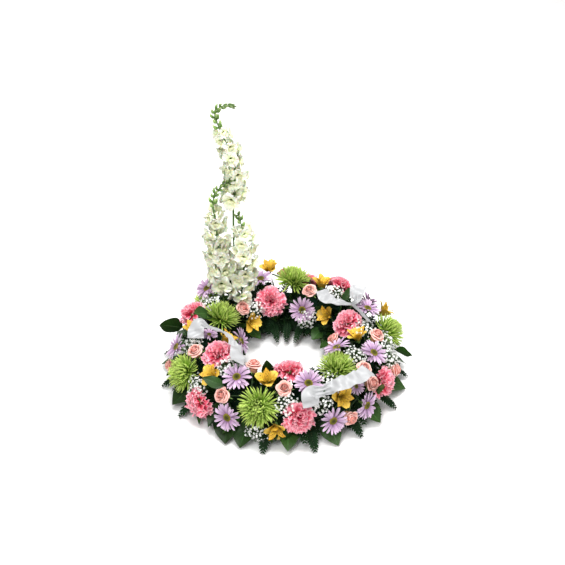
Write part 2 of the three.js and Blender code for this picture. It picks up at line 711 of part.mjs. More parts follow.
// Satin ribbon, each length on a wired pick that stands in the foam.
function ribbonStrip(path) {
  const curve = new THREE.CatmullRomCurve3(path.map(([around, over, out]) => onRing(around, over, out)));
  const steps = 2 * (path.length - 1);
  return loft(
    Array.from({ length: steps + 1 }, (_, k) => {
      const at = curve.getPoint(k / steps);
      const ahead = curve.getTangent(k / steps);
      const low = Math.min(Math.floor(k / 2), path.length - 2);
      const [around, over, , roll, width] = path[low].map((value, n) =>
        THREE.MathUtils.lerp(value, path[low + 1][n], k / 2 - low),
      );
      const normal = outward(around, over);
      normal.addScaledVector(ahead, -normal.dot(ahead)).normalize().applyAxisAngle(ahead, radians(roll));
      const across = new THREE.Vector3().crossVectors(ahead, normal).multiplyScalar(width / 2);
      normal.multiplyScalar(RIBBON.thickness / 2);
      return [
        at.clone().sub(across).sub(normal),
        at.clone().add(across).sub(normal),
        at.clone().add(across).add(normal),
        at.clone().sub(across).add(normal),
      ];
    }),
  );
}
function addRibbon({ pick, knot, paths }, index) {
  const wire = rod([rootIn(...pick, RIBBON.pick), onRing(...pick, FOAM_CLEAR), onRing(...knot)], RIBBON.pick);
  addMesh(`ribbon_${index + 1}`, union([wire, ...paths.map(ribbonStrip)]), "ribbon");
}
RIBBONS.forEach(addRibbon);

// Baby's breath: puffs of small blooms in the gaps, each twig only where it has room.
BREATH.forEach(({ fork: [around, over, out], heads }, i) => {
  const random = seeded(SEEDS.breath + i);
  const fork = onRing(around, over, out);
  const ends = heads.map(([a, o]) => onRing(a, o, BREATH_OUT - PUFF.sink));
  const parts = [rod([rootIn(around, over, STEM.breath), fork, ends[0]], STEM.breath)];
  for (const end of ends.slice(1)) parts.push(rod([fork, end], STEM.breath * BRANCH_SHARE, BRANCH_SIDES));
  for (const [a, o] of heads) {
    const matrix = headMatrix(a, o, BREATH_OUT);
    const isFree = (foot, bloom, tip) => isClear(placed(rod([foot, bloom, tip], [...PUFF.clear, 0]), matrix));
    parts.push(placed(breathPuff(random, isFree), matrix));
  }
  addMesh(`breath_spray_${i + 1}`, union(parts), "breath");
});

// A twig that lies round the ring, bent at each place that something grows from it, with its root in the
// foam.
function ringTwig(places, radius, height, thickness) {
  const turns = places.map((around) => ((around - places[0] + 360) % 360) + places[0]).sort((a, b) => a - b);
  const bends = turns.flatMap((turn, i) => {
    const next = turns[i + 1] ?? turn;
    return next - turn > LONGEST_CHORD ? [turn, (turn + next) / 2] : [turn];
  });
  const middle = bends[Math.floor(bends.length / 2)];
  const inward = radius > HEART.radius ? -1 : 1;
  const end = HEART.radius - inward * ROOT_OUT;
  holes.push(
    rod(
      [atRadius(middle, end + inward * FIT, height), atRadius(middle, radius - inward * PAST_TWIG, height)],
      thickness / Math.cos(Math.PI / STEM_SIDES) + FIT,
    ),
  );
  return [
    rod(bends.map((turn) => atRadius(turn, radius, height)), thickness, BRANCH_SIDES),
    rod([atRadius(middle, end, height), atRadius(middle, radius, height)], thickness),
  ];
}

// One salal leaf: an oval blade that arches from its stalk to a point, facing the way given.
function salalLeaf(from, to, width, facing = UP) {
  const middle = from.clone().lerp(to, 0.5).addScaledVector(facing, SALAL.arch);
  const curve = new THREE.QuadraticBezierCurve3(from, middle, to);
  const path = SALAL.along.map((t) => curve.getPoint(t));
  const halfWidths = SALAL.widths.map((share, n) => (n === 0 ? SALAL.stalk : share * width));
  return blade(path, halfWidths, { thickness: SALAL.stalk, lift: SALAL.lift, up: facing });
}

// The leaves that stand up among the flowers, each on a stalk from the twig of its group.
function upperLeaves(uppers, radius, height) {
  return uppers.flatMap(([from, base, tip, width, face]) => {
    const [foot, end] = [onRing(...base), onRing(...tip)];
    const facing = outward(...(face ?? [(base[0] + tip[0]) / 2, (base[1] + tip[1]) / 2]));
    const stalk = rod([atRadius(from, radius, height), foot], SALAL.stalk, BRANCH_SIDES);
    return [stalk, salalLeaf(foot, end, width, facing)];
  });
}

// One fern frond: leaflets cut to the rib of a thin arched blade, as teeth that lean towards the tip.
function fernFrond(from, to, { width, leaflets, arch }) {
  const middle = from.clone().lerp(to, 0.5);
  middle.z += arch;
  const curve = new THREE.QuadraticBezierCurve3(from, middle, to);
  const points = [];
  const faces = [];
  const add = (p) => points.push(p.clone()) - 1;
  const frame = (t) => {
    const ahead = curve.getTangent(t);
    const side = UP.clone().cross(ahead).normalize();
    return { at: curve.getPoint(t), side, up: new THREE.Vector3().crossVectors(ahead, side) };
  };
  const tip = add(to);
  const { rib, valley } = FROND;
  const rows = Array.from({ length: leaflets }, (_, k) => {
    const t = (FROND.end * k) / leaflets;
    const { at, side, up } = frame(t);
    const offset = (x, y) => add(at.clone().addScaledVector(side, x).addScaledVector(up, y));
    const offsets = [[0, rib], [0, -rib], [valley, 0], [-valley, 0]];
    const [top, under, left, right] = offsets.map((p) => offset(...p));
    return { top, under, left, right, t };
  });
  rows.forEach((row, k) => {
    const next = rows[k + 1];
    const share = FROND.narrowest + (FROND.spread * (k + 0.5)) / leaflets;
    const spread = width * Math.sin(Math.PI * share);
    const { at, side } = frame(Math.min(1, row.t + FROND.lean / leaflets));
    for (const [edge, sign] of [["left", 1], ["right", -1]]) {
      const point = add(at.clone().addScaledVector(side, sign * spread));
      const after = next ? next[edge] : tip;
      const topAfter = next ? next.top : tip;
      const underAfter = next ? next.under : tip;
      const turn = (list) => faces.push(...list.map(([a, b, c]) => (sign > 0 ? [a, b, c] : [a, c, b])));
      turn([[row.top, point, row[edge]], [row.under, row[edge], point]]);
      turn([[row.top, after, point], [row.under, point, after]]);
      if (next) turn([[row.top, topAfter, after], [row.under, after, underAfter]]);
    }
  });
  const [root] = rows;
  faces.push([root.top, root.left, root.under], [root.top, root.under, root.right]);
  return closed(points, faces);
}

// Salal round the foot of the wreath, then on its inner side.
function addSalal(name, twigs, { radius, height, reach, droop, width }, seed) {
  twigs.forEach(({ leaves, uppers }, i) => {
    const random = seeded(seed + i);
    const away = radius > HEART.radius ? 1 : -1;
    const stalks = uppers.map(([from]) => from);
    const parts = ringTwig([...leaves, ...stalks], radius, height, SALAL.stalk);
    for (const around of leaves) {
      const far = radius + away * reach * (LEAF_SPREAD.shortest + LEAF_SPREAD.uneven * random());
      const tip = atRadius(around + LEAF_SPREAD.turn * (random() - 0.5), far, height - droop);
      parts.push(salalLeaf(atRadius(around, radius - away * TWIG_INSET, height), tip, width));
    }
    addMesh(`${name}_${i + 1}`, union([...parts, ...upperLeaves(uppers, radius, height)]), "salal");
  });
}
addSalal("salal_skirt", SKIRT_TWIGS, SKIRT, SEEDS.skirt);
addSalal("salal_inner", INNER_TWIGS, INNER, SEEDS.inner);

// Fern round the foot, between the salal leaves, and hanging into the hole at the back.
function addFern(name, twigs, shape) {
  twigs.forEach((places, i) => {
    const { radius, height, reach, droop } = shape;
    const away = radius > HEART.radius ? 1 : -1;
    const parts = ringTwig(places, radius, height, FERN_TWIG);
    for (const around of places) {
      const from = atRadius(around, radius - away * TWIG_INSET, height);
      parts.push(fernFrond(from, atRadius(around, radius + away * reach, height - droop), shape));
    }
    addMesh(`${name}_${i + 1}`, union(parts), "fern");
  });
}
addFern("fern_skirt", FERN_TWIGS, FERN);
addFern("fern_inner", [INNER_FRONDS], INNER_FERN);

// The tray: a shallow ring-shaped trough, and the foam ring that sits in it, with a hole for each stem.
function ringSolid(profile) {
  const outline = profile.map(([radius, height]) => new THREE.Vector2(radius, height));
  const turned = new THREE.LatheGeometry([...outline, outline[0]], RING_STEPS);
  turned.deleteAttribute("normal");
  turned.deleteAttribute("uv");
  turned.rotateX(Math.PI / 2);
  const merged = mergeVertices(turned, 1e-3);
  const at = merged.getAttribute("position");
  const points = Array.from({ length: at.count }, (_, i) => new THREE.Vector3().fromBufferAttribute(at, i));
  const index = [...merged.index.array];
  const faces = [];
  for (let i = 0; i < index.length; i += 3) {
    const face = index.slice(i, i + 3);
    if (new Set(face).size === 3) faces.push(face);
  }
  return closed(points, faces);
}
const { inner, outer, height, wall, floor } = TRAY;
addMesh(
  "tray",
  ringSolid([
    [inner, 0], [outer, 0], [outer, height], [outer - wall, height], [outer - wall, floor],
    [inner + wall, floor], [inner + wall, height], [inner, height],
  ]),
  "tray",
);
const cut = FOAM.chamfer;
const foamRing = ringSolid([
  [FOAM.inner, FOAM.bottom], [FOAM.outer, FOAM.bottom], [FOAM.outer, FOAM.top - cut],
  [FOAM.outer - cut, FOAM.top], [FOAM.inner + cut, FOAM.top], [FOAM.inner, FOAM.top - cut],
]);
addMesh("foam", foamRing.subtract(union(holes)), "foam");

export default wreath;
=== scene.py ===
# A fresh-flower memorial wreath that lies flat: carnations, spider chrysanthemums, daisies, alstroemeria,
# spray roses and baby's breath over salal and fern, with satin ribbon and three snapdragons at the back left.
#
# Places are in millimetres and degrees. "around" is the angle round the ring from +X, and "over" the angle
# across the mound, from 0 at the outer side through 90 on top to 180 at the inner side. "out" is the distance
# from the mound's heart, the circle in its middle.

import bpy
import numpy as np
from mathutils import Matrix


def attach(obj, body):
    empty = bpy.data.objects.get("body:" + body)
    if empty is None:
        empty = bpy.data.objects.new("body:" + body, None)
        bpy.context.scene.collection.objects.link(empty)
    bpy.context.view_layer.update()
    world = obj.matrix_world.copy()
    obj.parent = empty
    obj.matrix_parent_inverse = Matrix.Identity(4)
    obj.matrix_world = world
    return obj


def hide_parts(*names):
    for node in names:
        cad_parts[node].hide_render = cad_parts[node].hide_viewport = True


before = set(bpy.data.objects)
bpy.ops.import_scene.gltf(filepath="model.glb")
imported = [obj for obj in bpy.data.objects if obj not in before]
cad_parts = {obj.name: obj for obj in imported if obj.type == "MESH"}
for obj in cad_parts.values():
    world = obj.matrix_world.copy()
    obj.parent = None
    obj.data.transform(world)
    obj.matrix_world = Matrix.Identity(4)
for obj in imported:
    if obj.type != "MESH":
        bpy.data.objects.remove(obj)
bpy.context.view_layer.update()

MM = 0.001
HEART_RADIUS = 152.0
HEART_HEIGHT = 40.0
ROOT_OUT = 15.0
HEAD_OUT = 58.0
BREATH_OUT = 55.0
CALYX_BELOW = 5.0
GOLDEN_ANGLE = np.radians(137.5)
UP = np.array([0.0, 0.0, 1.0])
ASIDE = np.array([1.0, 0.0, 0.0])
PARALLEL = 1e-6  # a hint this close to a path's own way gives no side
OTHER_HINT = (0.3, 1.0, 0.2)
# The first seed of each kind. Its pieces take the ones that follow.
SEEDS = {
    "carnation": 100, "mum": 100, "rose": 240, "daisy": 250, "breath": 300, "alstroemeria": 320,
    "snapdragon": 400, "salal_skirt": 500, "salal_inner": 520, "fern_skirt": 600, "fern_inner": 620,
    "cover": 700,
}

CARNATIONS = [
    (162, 52), (214, 96), (104, 134), (53, 47), (8, 117), (224, 2), (274, 113), (277, 20), (329, 15),
    (76, 12),
]
MUMS = [(83, 89), (165, 113), (208, 27), (257, 36), (307, 84), (4, 36), (137, 12)]
# A spray is one branching stem: its fork (around, over, out), then its heads. After its place a head has its
# size, how far out it stands and the way it faces, where those aren't 1, HEAD_OUT and straight out.
DAISIES = [
    ((118, 8, 38), [(142, 57, 1, 70, (205, 62)), (106, 14)]),
    ((73, 141, 38), [(108, 87), (67, 146)]),
    ((17, 8, 43), [(17, 74), (38, 14)]),
    ((186, 140, 38), [(191, 38), (176, 163), (192, 96, 0.62)]),
    ((235, 38, 38), [(241, 71), (243, 8)]),
    ((312, 38, 38), [(284, 71), (310, 43, 0.62), (293, 8), (312, 8)]),
    ((321, 125, 38), [(327, 120), (334, 63)]),
]
ALSTROEMERIAS = [
    ((71, 63, 43), [(99, 56, 1, 73, (200, 80)), (61, 83)]),
    ((136, 158, 43), [(136, 158)]),
    ((0, 143, 38), [(34, 138), (346, 97)]),
    ((44, 38, 43), [(21, 33, 1, 67), (57, 8)]),
    ((201, 80, 43), [(183, 70), (196, 126)]),
    ((226, 56, 43), [(226, 56)]),
    ((267, 86, 43), [(259, 81), (266, 2)]),
    ((300, 38, 43), [(300, 38)]),
]
ROSES = [
    ((59, 31, 38), [(90, 37), (65, 112)]),
    ((114, 132, 43), [(120, 38), (140, 129)]),
    ((348, 68, 43), [(350, 69), (341, 11), (348, 140)]),
    ((317, 2, 38), [(320, 58), (319, 34), (302.4, 0)]),
    ((250, 52, 43), [(246, 104), (270, 66), (238, 38)]),
    ((195, 6, 43), [(205, 65), (193, 4)]),
]
BREATH = [
    ((52, 132, 43), [(45, 98), (60, 160)]),
    ((144, 112, 43), [(125, 140), (155, 80)]),
    ((344, 68, 43), [(325, 84), (350, 52), (343, 28), (356, 90)]),
    ((288, 50, 43), [(297, 66), (289, 40), (271, 42), (257.2, -12)]),
    ((218, 58, 43), [(221, 28), (229, 82), (197, 66)]),
]
# Snapdragons: the heights between which the florets are, the spike's route, the size of the lowest floret and
# how much a floret's own stalk may be longer than the shortest. No bud reaches above BUD_TOP. The highest tip
# hangs down by TIP_DROP, from the height DROP_FROM on and in full from DROP_OVER above it.
BUD_TOP = 506.0
TIP_DROP = 4.5
DROP_FROM = 465
DROP_OVER = 35
SNAPDRAGONS = [
    (
        (302, 452),
        [
            (-96, 124, 20), (-99, 126, 180), (-97, 128, 300), (-92, 128, 345), (-96, 128, 392),
            (-108, 128, 432), (-120, 128, 464), (-125, 128, 487), (-119, 128, 500), (-104, 128, 506),
            (-88, 128, 505),
        ],
        1.40, 2.0,
    ),
    (
        (122, 300),
        [
            (-118, 104, 20), (-122, 108, 90), (-126, 111, 150), (-130, 112, 215), (-131, 112, 265),
            (-135, 112, 305), (-130, 112, 331), (-117, 112, 346), (-104, 112, 356), (-92, 112, 363),
        ],
        1.48, 3.2,
    ),
    (
        (98, 262),
        [
            (-87, 99, 20), (-86, 103, 84), (-81, 104, 150), (-76, 104, 205), (-78, 104, 246),
            (-84, 104, 276), (-89, 104, 294),
        ],
        1.48, 3.2,
    ),
]
# Salal: the twig's radius and height, how far a leaf reaches and droops, half its width, and each twig's
# leaves by their angle. An upper leaf stands up among the flowers: where its stalk starts, its foot, its tip,
# half its width, and the way it faces where that isn't straight out.
LEAF_FOLD = 0.16
SKIRT = (190, 26.5, 62, 22, 18)
SKIRT_TWIGS = [
    ([3, 26, 48, 71, 95, 118], [(8.6, (358, 10, 66), (353, 8, 98), 12)]),
    (
        [140, 161, 183, 206, 237],
        [(168.3, (166, 20, 60), (173, 24, 104), 18), (228, (237, 51, 73), (227, 48, 92), 10)],
    ),
    ([251, 272, 294, 317, 340], [(333.8, (320, 21, 72), (318, 30, 103), 10)]),
]
INNER = (114, 33, 44, 11, 14)
INNER_TWIGS = [
    ([22, 46], [(28, (34, 100, 66), (30, 84, 96), 14)]),
    (
        [130, 172],
        [(151, (167, 95, 67), (179, 77, 93), 16, (250, 60)), (132.5, (137, 96, 77), (135, 81, 112), 10)],
    ),
    ([232, 262, 292, 322], [(246.6, (256, 143, 50), (254, 116, 80), 12, (270, 30))]),
]
# Fern: the twig's radius and height, how far a frond reaches and droops, half its width and its arch.
FERN = (190.5, 32.5, 54, 27, 12, 6)
FERN_TWIGS = [[150, 172, 195, 217, 261], [283, 305, 329, 352, 15, 37]]
INNER_FERN = (114, 33, 50, 20, 9, 4)
INNER_FRONDS = [[70, 86, 102]]
# The cover of small sprigs, one piece for each part of the ring in degrees. STANDING ones grow from the foam.
# Lying ones are given by how many there are, the radius and heights of their feet, how far their tips stray
# round the ring, the tips' radii and heights, the share that is fern, the widths and the arch of fronds, the
# half widths of leaves, and how far a leaf tilts.
COVER_PART = 60
STANDING = 86
SPRIG_ROOT_OUT = 28
SPRIG_LOWEST = 8
LYING = [
    dict(
        count=8, radius=186, heights=(26, 42), stray=5, tip_radii=(214, 236), tip_heights=(6, 28), fern=0.45,
        frond_widths=(9, 12), arch=4.0, leaf_widths=(9, 14), tilt=0.2,
    ),
    dict(
        count=13, radius=121, heights=(27, 51), stray=6, tip_radii=(92, 105), tip_heights=(5, 31), fern=0.75,
        frond_widths=(8, 11), arch=5.0, leaf_widths=(7, 11), tilt=0.3,
    ),
]
# Ribbon: its width, and for each node its pick, the knot that gathers it, and its paths of (around, over,
# out, roll, width), with a smaller width where it is gathered.
RIBBON_WIDTH = 30.0
PLEATED_BELOW = 26.0
PLEATS = 3
RIBBONS = [
    (
        (297, 90),
        (290, 53, 85),
        [
            [
                (316, 53, 96, 30, 30), (307, 53, 102, 30, 30), (299, 54, 99, 30, 30), (294, 54, 93, 20, 26),
                (290, 53, 85, 0, 16), (285, 53, 92, 0, 25), (282, 50, 96, 0, 29), (282, 44, 94, 0, 30),
                (282, 38, 90, 0, 29),
            ],
        ],
    ),
    (
        (204, 112),
        (204, 107, 93),
        [
            [
                (200, 74, 84, 15, 30), (197, 78, 94, 15, 30), (193, 84, 97, 15, 26), (195, 92, 92, 0, 12),
                (199, 100, 91, -10, 8), (204, 107, 93, -10, 8), (215, 109, 95, -15, 16),
                (227, 103, 95, -25, 27), (235, 93, 93, -35, 30), (239, 83, 90, -35, 30),
            ],
        ],
    ),
    (
        (27, 118),
        (19, 98, 82),
        [
            [
                (49, 114, 96, -30, 30), (39, 119, 96, -30, 30), (29, 117, 95, -25, 27),
                (22, 108, 89, -10, 15), (19, 98, 82, 0, 8), (18, 93, 91, 0, 17), (21, 90, 98, 0, 27),
                (26, 85, 102, 0, 30), (30, 77, 98, 0, 30),
            ],
            [(19, 98, 82, 0, 7), (10, 96, 88, 0, 7), (0, 91, 91, 0, 7), (-6, 83, 87, 0, 6)],
        ],
    ),
]
# How wide the notch at a petal's tip is, and how many frills there are to each wave of its edge.
NOTCH_WIDTH = 0.22
FRILL_WAVES = 2.7
# Materials: how deep the bumps are and how far light scatters in petals, in metres, and a leaf's veins.
BUMP_DEPTH = 0.0006
SCATTER = (0.004, 0.002, 0.0015)
VEIN_SLANT = 2.4
VEIN_WIDTH = 0.09
RIB_WIDTH = 0.045
# The camera, floor and light, in metres. A softbox has a place, what it points at, a size and a power.
CAMERA_PLACE = (-0.00299, -1.3715, 1.1657)
CAMERA_PITCH = 35
FOCAL_LENGTH = 57.35
FLOOR_SIZE = 6.0
FLOOR_HEIGHT = -0.0005
FLOOR_COLOR = (0.99, 0.99, 0.99, 1.0)
SKY_COLOR = (1.0, 0.99, 0.965, 1.0)
SKY_STRENGTH = 0.43
SOFTBOXES = [
    ("key_light", (-0.6, -1.5, 2.1), (0.0, 0.0, 0.1), 0.8, 28),
    ("top_light", (0.0, -0.1, 2.2), (0.0, 0.0, 0.1), 0.8, 38),
    ("backdrop_light", (-0.5, 2.9, 1.9), (-0.4, 1.9, 0.0), 2.0, 34),
    ("fill_light", (1.4, -0.6, 1.4), (0.0, 0.0, 0.1), 1.4, 12),
    ("back_light", (0.4, 1.5, 1.6), (0.0, 0.0, 0.15), 1.0, 12),
]


# Places

def outward(around, over):
    a, o = np.radians(around), np.radians(over)
    return np.array([np.cos(o) * np.cos(a), np.cos(o) * np.sin(a), np.sin(o)])


def onward(around):
    """The way round the ring."""
    a = np.radians(around)
    return np.array([-np.sin(a), np.cos(a), 0.0])


def at_radius(around, radius, height):
    a = np.radians(around)
    return np.array([radius * np.cos(a), radius * np.sin(a), height])


def on_ring(around, over, out):
    return at_radius(around, HEART_RADIUS, HEART_HEIGHT) + outward(around, over) * out


def unit(v):
    return v / np.linalg.norm(v)


def frame_on(place, z, x):
    """A turn and a shift that take a piece's own +Z to z and its +X near x."""
    z = unit(z)
    x = unit(x - z * (x @ z))
    return np.column_stack([x, np.cross(z, x), z]), place


def head_frame(around, over, out, tilt=(0.0, 0.0), face=None):
    face = face or (around, over)
    along = onward(face[0])
    z = outward(*face)
    across = np.cross(z, along)
    return frame_on(on_ring(around, over, out), z + along * tilt[0] + across * tilt[1], along)


def smooth_path(points, count):
    """A smooth curve through the points, in as many steps."""
    points = np.asarray(points, float)
    padded = np.vstack([2 * points[0] - points[1], points, 2 * points[-1] - points[-2]])
    places = np.linspace(0, len(points) - 1, count)
    k = np.minimum(places.astype(int), len(points) - 2)
    t = (places - k)[:, None]
    p0, p1, p2, p3 = padded[k], padded[k + 1], padded[k + 2], padded[k + 3]
    return 0.5 * (
        2 * p1 + (p2 - p0) * t + (2 * p0 - 5 * p1 + 4 * p2 - p3) * t**2 + (3 * p1 - p0 - 3 * p2 + p3) * t**3
    )


def travelled(path):
    """The length of the path up to each of its points."""
    return np.concatenate([[0], np.cumsum(np.linalg.norm(np.diff(path, axis=0), axis=1))])


def directions(path):
    ahead = np.gradient(path, axis=0)
    return ahead / np.linalg.norm(ahead, axis=1)[:, None]


def frames_along(path, hint):
    """Unit vectors ahead, aside and across at each point of a path. The first aside lies near the hint."""
    ahead = directions(path)
    side = np.asarray(hint, float)
    sides = []
    for way in ahead:
        side = side - way * (side @ way)
        if np.linalg.norm(side) < PARALLEL:
            side = np.cross(way, OTHER_HINT)
        side = unit(side)
        sides.append(side)
    sides = np.array(sides)
    return ahead, sides, np.cross(ahead, sides)


# Meshes

class Piece:
    """One visible piece: patches and tubes in one mesh, with three numbers at each point for materials."""

    def __init__(self, name, looks):
        self.name = name
        self.looks = looks
        self.points, self.faces, self.kinds = [], [], []
        self.numbers = {"along": [], "across": [], "tint": []}
        self.count = 0

    def add(self, points, faces, look, along, across, tint, place):
        points = np.asarray(points, float).reshape(-1, 3)
        if place is not None:
            turn, shift = place
            points = points @ turn.T + shift
        self.points.append(points)
        self.faces.append(np.asarray(faces) + self.count)
        self.kinds.append(np.full(len(faces), self.looks.index(look)))
        for store, value in zip(self.numbers.values(), (along, across, tint)):
            store.append(np.broadcast_to(np.ravel(value), (len(points),)))
        self.count += len(points)

    def add_grid(self, points, look, v, u, tint, place=None, closed=False):
        """A patch over rows of points. v runs along it, row by row, and u across it."""
        faces = grid_faces(len(v), len(u), closed)
        self.add(points, faces, look, np.repeat(v, len(u)), np.tile(u, len(v)), tint, place)

    def build(self, *nodes, slot):
        """Makes the object, which takes the place of the CAD nodes that are named."""
        faces = [face for group in self.faces for face in group.tolist()]
        mesh = bpy.data.meshes.new(self.name)
        mesh.from_pydata((np.vstack(self.points) * MM).tolist(), [], faces)
        for look in self.looks:
            mesh.materials.append(material(look))
        mesh.polygons.foreach_set("material_index", np.concatenate(self.kinds).astype(np.int32))
        mesh.polygons.foreach_set("use_smooth", np.ones(len(mesh.polygons), bool))
        for name, store in self.numbers.items():
            layer = mesh.attributes.new(name, "FLOAT", "POINT")
            layer.data.foreach_set("value", np.concatenate(store).astype(np.float32))
        mesh.update()
        piece = bpy.data.objects.new(self.name, mesh)
        bpy.context.scene.collection.objects.link(piece)
        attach(piece, "root")
        if nodes:
            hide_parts(*nodes)
        return piece


GRIDS = {}


def grid_faces(rows, columns, closed):
    """Quads over a grid of points, row by row. A closed grid joins its last column to its first."""
    key = (rows, columns, closed)
    if key not in GRIDS:
        steps = columns if closed else columns - 1
        i, j = (index.ravel() for index in np.meshgrid(np.arange(rows - 1), np.arange(steps), indexing="ij"))
        row, above, k = i * columns, (i + 1) * columns, (j + 1) % columns
        GRIDS[key] = np.column_stack([row + j, row + k, above + k, above + j])
    return GRIDS[key]


def add_tube(piece, path, radii, look, sides=6, tint=0.5, hint=UP, along=None, place=None, squash=1.0):
    """A round stem, needle or tube. A radius of nearly 0 closes an end."""
    path = np.asarray(path, float)
    radii = np.broadcast_to(np.asarray(radii, float), (len(path),))
    _, side, cross = frames_along(path, hint)
    turn = 2 * np.pi * np.arange(sides) / sides
    u = np.cos(turn)
    ring = side[:, None] * u[None, :, None] * squash + cross[:, None] * np.sin(turn)[None, :, None]
    v = np.linspace(0, 1, len(path)) if along is None else np.asarray(along)
    piece.add_grid(path[:, None] + ring * radii[:, None, None], look, v, u, tint, place, closed=True)


def add_calyx(piece, place, heights, radii, sides=12, size=1.0):
    """The green cup under a head: its heights on the head's axis and its radius at each."""
    path = [(0, 0, height * size) for height in heights]
    add_tube(piece, path, np.array(radii) * size, "calyx", sides, hint=ASIDE, place=place)


def curved(length, lift, curl, rows, bend=1.0):
    """A petal's midline: distance out, height, and the slope at each row. Angles are in degrees."""
    v = np.linspace(0, 1, rows)
    slope = np.radians(lift + curl * v**bend)
    step = length / (rows - 1)
    middle = (slope[1:] + slope[:-1]) / 2
    out = np.concatenate([[0], np.cumsum(np.cos(middle)) * step])
    up = np.concatenate([[0], np.cumsum(np.sin(middle)) * step])
    return v, out, up, slope


def add_petal(
    piece, look, place, turn, *, width, length, lift, curl, rows, columns, shape, start=(0.0, 0.0), cup=0.0,
    ruffle=(0.0, 0.0, 0.0), notch=0.0, round_end=0.0, teeth=0.0, frill=0.0, bend=1.0, tint=0.5, lean=0.0,
):
    """A petal that leaves the head's axis at a turn. cup lifts its edges. ruffle is (depth, waves, phase)."""
    v, out, up, slope = curved(length, lift, curl, rows, bend)
    u = np.linspace(-1, 1, columns)
    half = width / 2 * shape(v)
    x = half[:, None] * u[None, :]
    shorter = round_end * u**2 + notch * np.exp(-((u / NOTCH_WIDTH) ** 2)) + teeth * (np.arange(columns) % 2)
    back = (shorter[None, :] * length) * (v[:, None] ** 5)
    depth, waves, phase = ruffle
    rise = cup * half[:, None] * u[None, :] ** 2 + depth * (v[:, None] ** 2) * np.sin(np.pi * waves * u + phase)
    rise = rise + frill * (v[:, None] ** 6) * np.sin(np.pi * FRILL_WAVES * waves * u + 2 * phase)
    radial = start[0] + out[:, None] - back * np.cos(slope)[:, None] - rise * np.sin(slope)[:, None]
    height = start[1] + up[:, None] - back * np.sin(slope)[:, None] + rise * np.cos(slope)[:, None]
    x = x + lean * v[:, None]
    points = [radial * np.cos(turn) - x * np.sin(turn), radial * np.sin(turn) + x * np.cos(turn), height]
    piece.add_grid(np.stack(points, axis=-1), look, v, u, tint, place)


# Materials

class Shading:
    """A material's nodes. Each call adds one and gives back its output."""

    def __init__(self, name):
        self.material = bpy.data.materials.new(name)
        self.material.use_nodes = True
        self.tree = self.material.node_tree

    def feed(self, socket, value):
        """Links an output to a socket, or sets the socket's own value."""
        if isinstance(value, bpy.types.NodeSocket):
            self.tree.links.new(value, socket)
        else:
            socket.default_value = value

    def node(self, kind, output, inputs, **settings):
        made = self.tree.nodes.new("ShaderNode" + kind)
        for name, value in settings.items():
            setattr(made, name, value)
        for key, value in inputs.items():
            self.feed(made.inputs[key], value)
        return made.outputs[output]

    def number(self, name):
        """One of the three numbers at each point."""
        return self.node("Attribute", "Fac", {}, attribute_name=name)

    def math(self, operation, *values):
        return self.node("Math", "Value", dict(enumerate(values)), operation=operation)

    def away(self):
        """The distance from the middle line, 1 at the edge."""
        return self.math("ABSOLUTE", self.number("across"))

    def noise(self, place, scale, detail):
        return self.node("TexNoise", "Fac", {"Vector": place, "Scale": scale, "Detail": detail})

    def ranged(self, value, low, high, start=0.0, end=1.0):
        """The value, taken from start and end to low and high."""
        inputs = {"Value": value, "From Min": start, "From Max": end, "To Min": low, "To Max": high}
        return self.node("MapRange", "Result", inputs)

    def mix(self, color, over, share):
        inputs = {"Factor": share, "A": color, "B": (*over, 1.0)}
        return self.node("Mix", "Result", inputs, data_type="RGBA", blend_type="MIX")

    def ramp(self, value, stops):
        made = self.tree.nodes.new("ShaderNodeValToRGB")
        elements = made.color_ramp.elements
        while len(elements) < len(stops):
            elements.new(0.5)
        for element, (place, *color) in zip(elements, stops):
            element.position = place
            element.color = (*color, 1.0)
        self.feed(made.inputs["Fac"], value)
        return made.outputs["Color"]


def streaks(nodes, color):
    """Short dark streaks in the middle of a petal, in lines along it."""
    place = nodes.node("CombineXYZ", "Vector", {
        "X": nodes.math("MULTIPLY", nodes.number("across"), 4.0),
        "Y": nodes.math("MULTIPLY", nodes.number("along"), 2.2),
        "Z": nodes.number("tint"),
    })
    dark = nodes.math("GREATER_THAN", nodes.noise(place, 3.4, 1.0), 0.56)
    inner = nodes.math("LESS_THAN", nodes.away(), 0.62)
    low = nodes.math("LESS_THAN", nodes.number("along"), 0.82)
    share = nodes.math("MULTIPLY", nodes.math("MULTIPLY", dark, inner), low)
    return nodes.mix(color, (0.22, 0.07, 0.015), share)


def midline(shade, width, strength):
    """A darker or lighter line along the middle of a petal or leaf."""
    def detail(nodes, color):
        return nodes.mix(color, shade, nodes.ranged(nodes.away(), strength, 0.0, 0.0, width))
    return detail


def leaf_veins(shade, count, strength):
    """A pale midrib and side veins that slant forward from it."""
    def detail(nodes, color):
        away = nodes.away()
        slant = nodes.math("MULTIPLY", away, VEIN_SLANT)
        wave = nodes.math("SUBTRACT", nodes.math("MULTIPLY", nodes.number("along"), float(count)), slant)
        thin = nodes.math("LESS_THAN", nodes.math("FRACT", wave), VEIN_WIDTH)
        side = nodes.math("MULTIPLY", thin, strength * 0.6)
        rib = nodes.math("MULTIPLY", nodes.math("LESS_THAN", away, RIB_WIDTH), strength)
        return nodes.mix(color, shade, nodes.math("MAXIMUM", side, rib))
    return detail


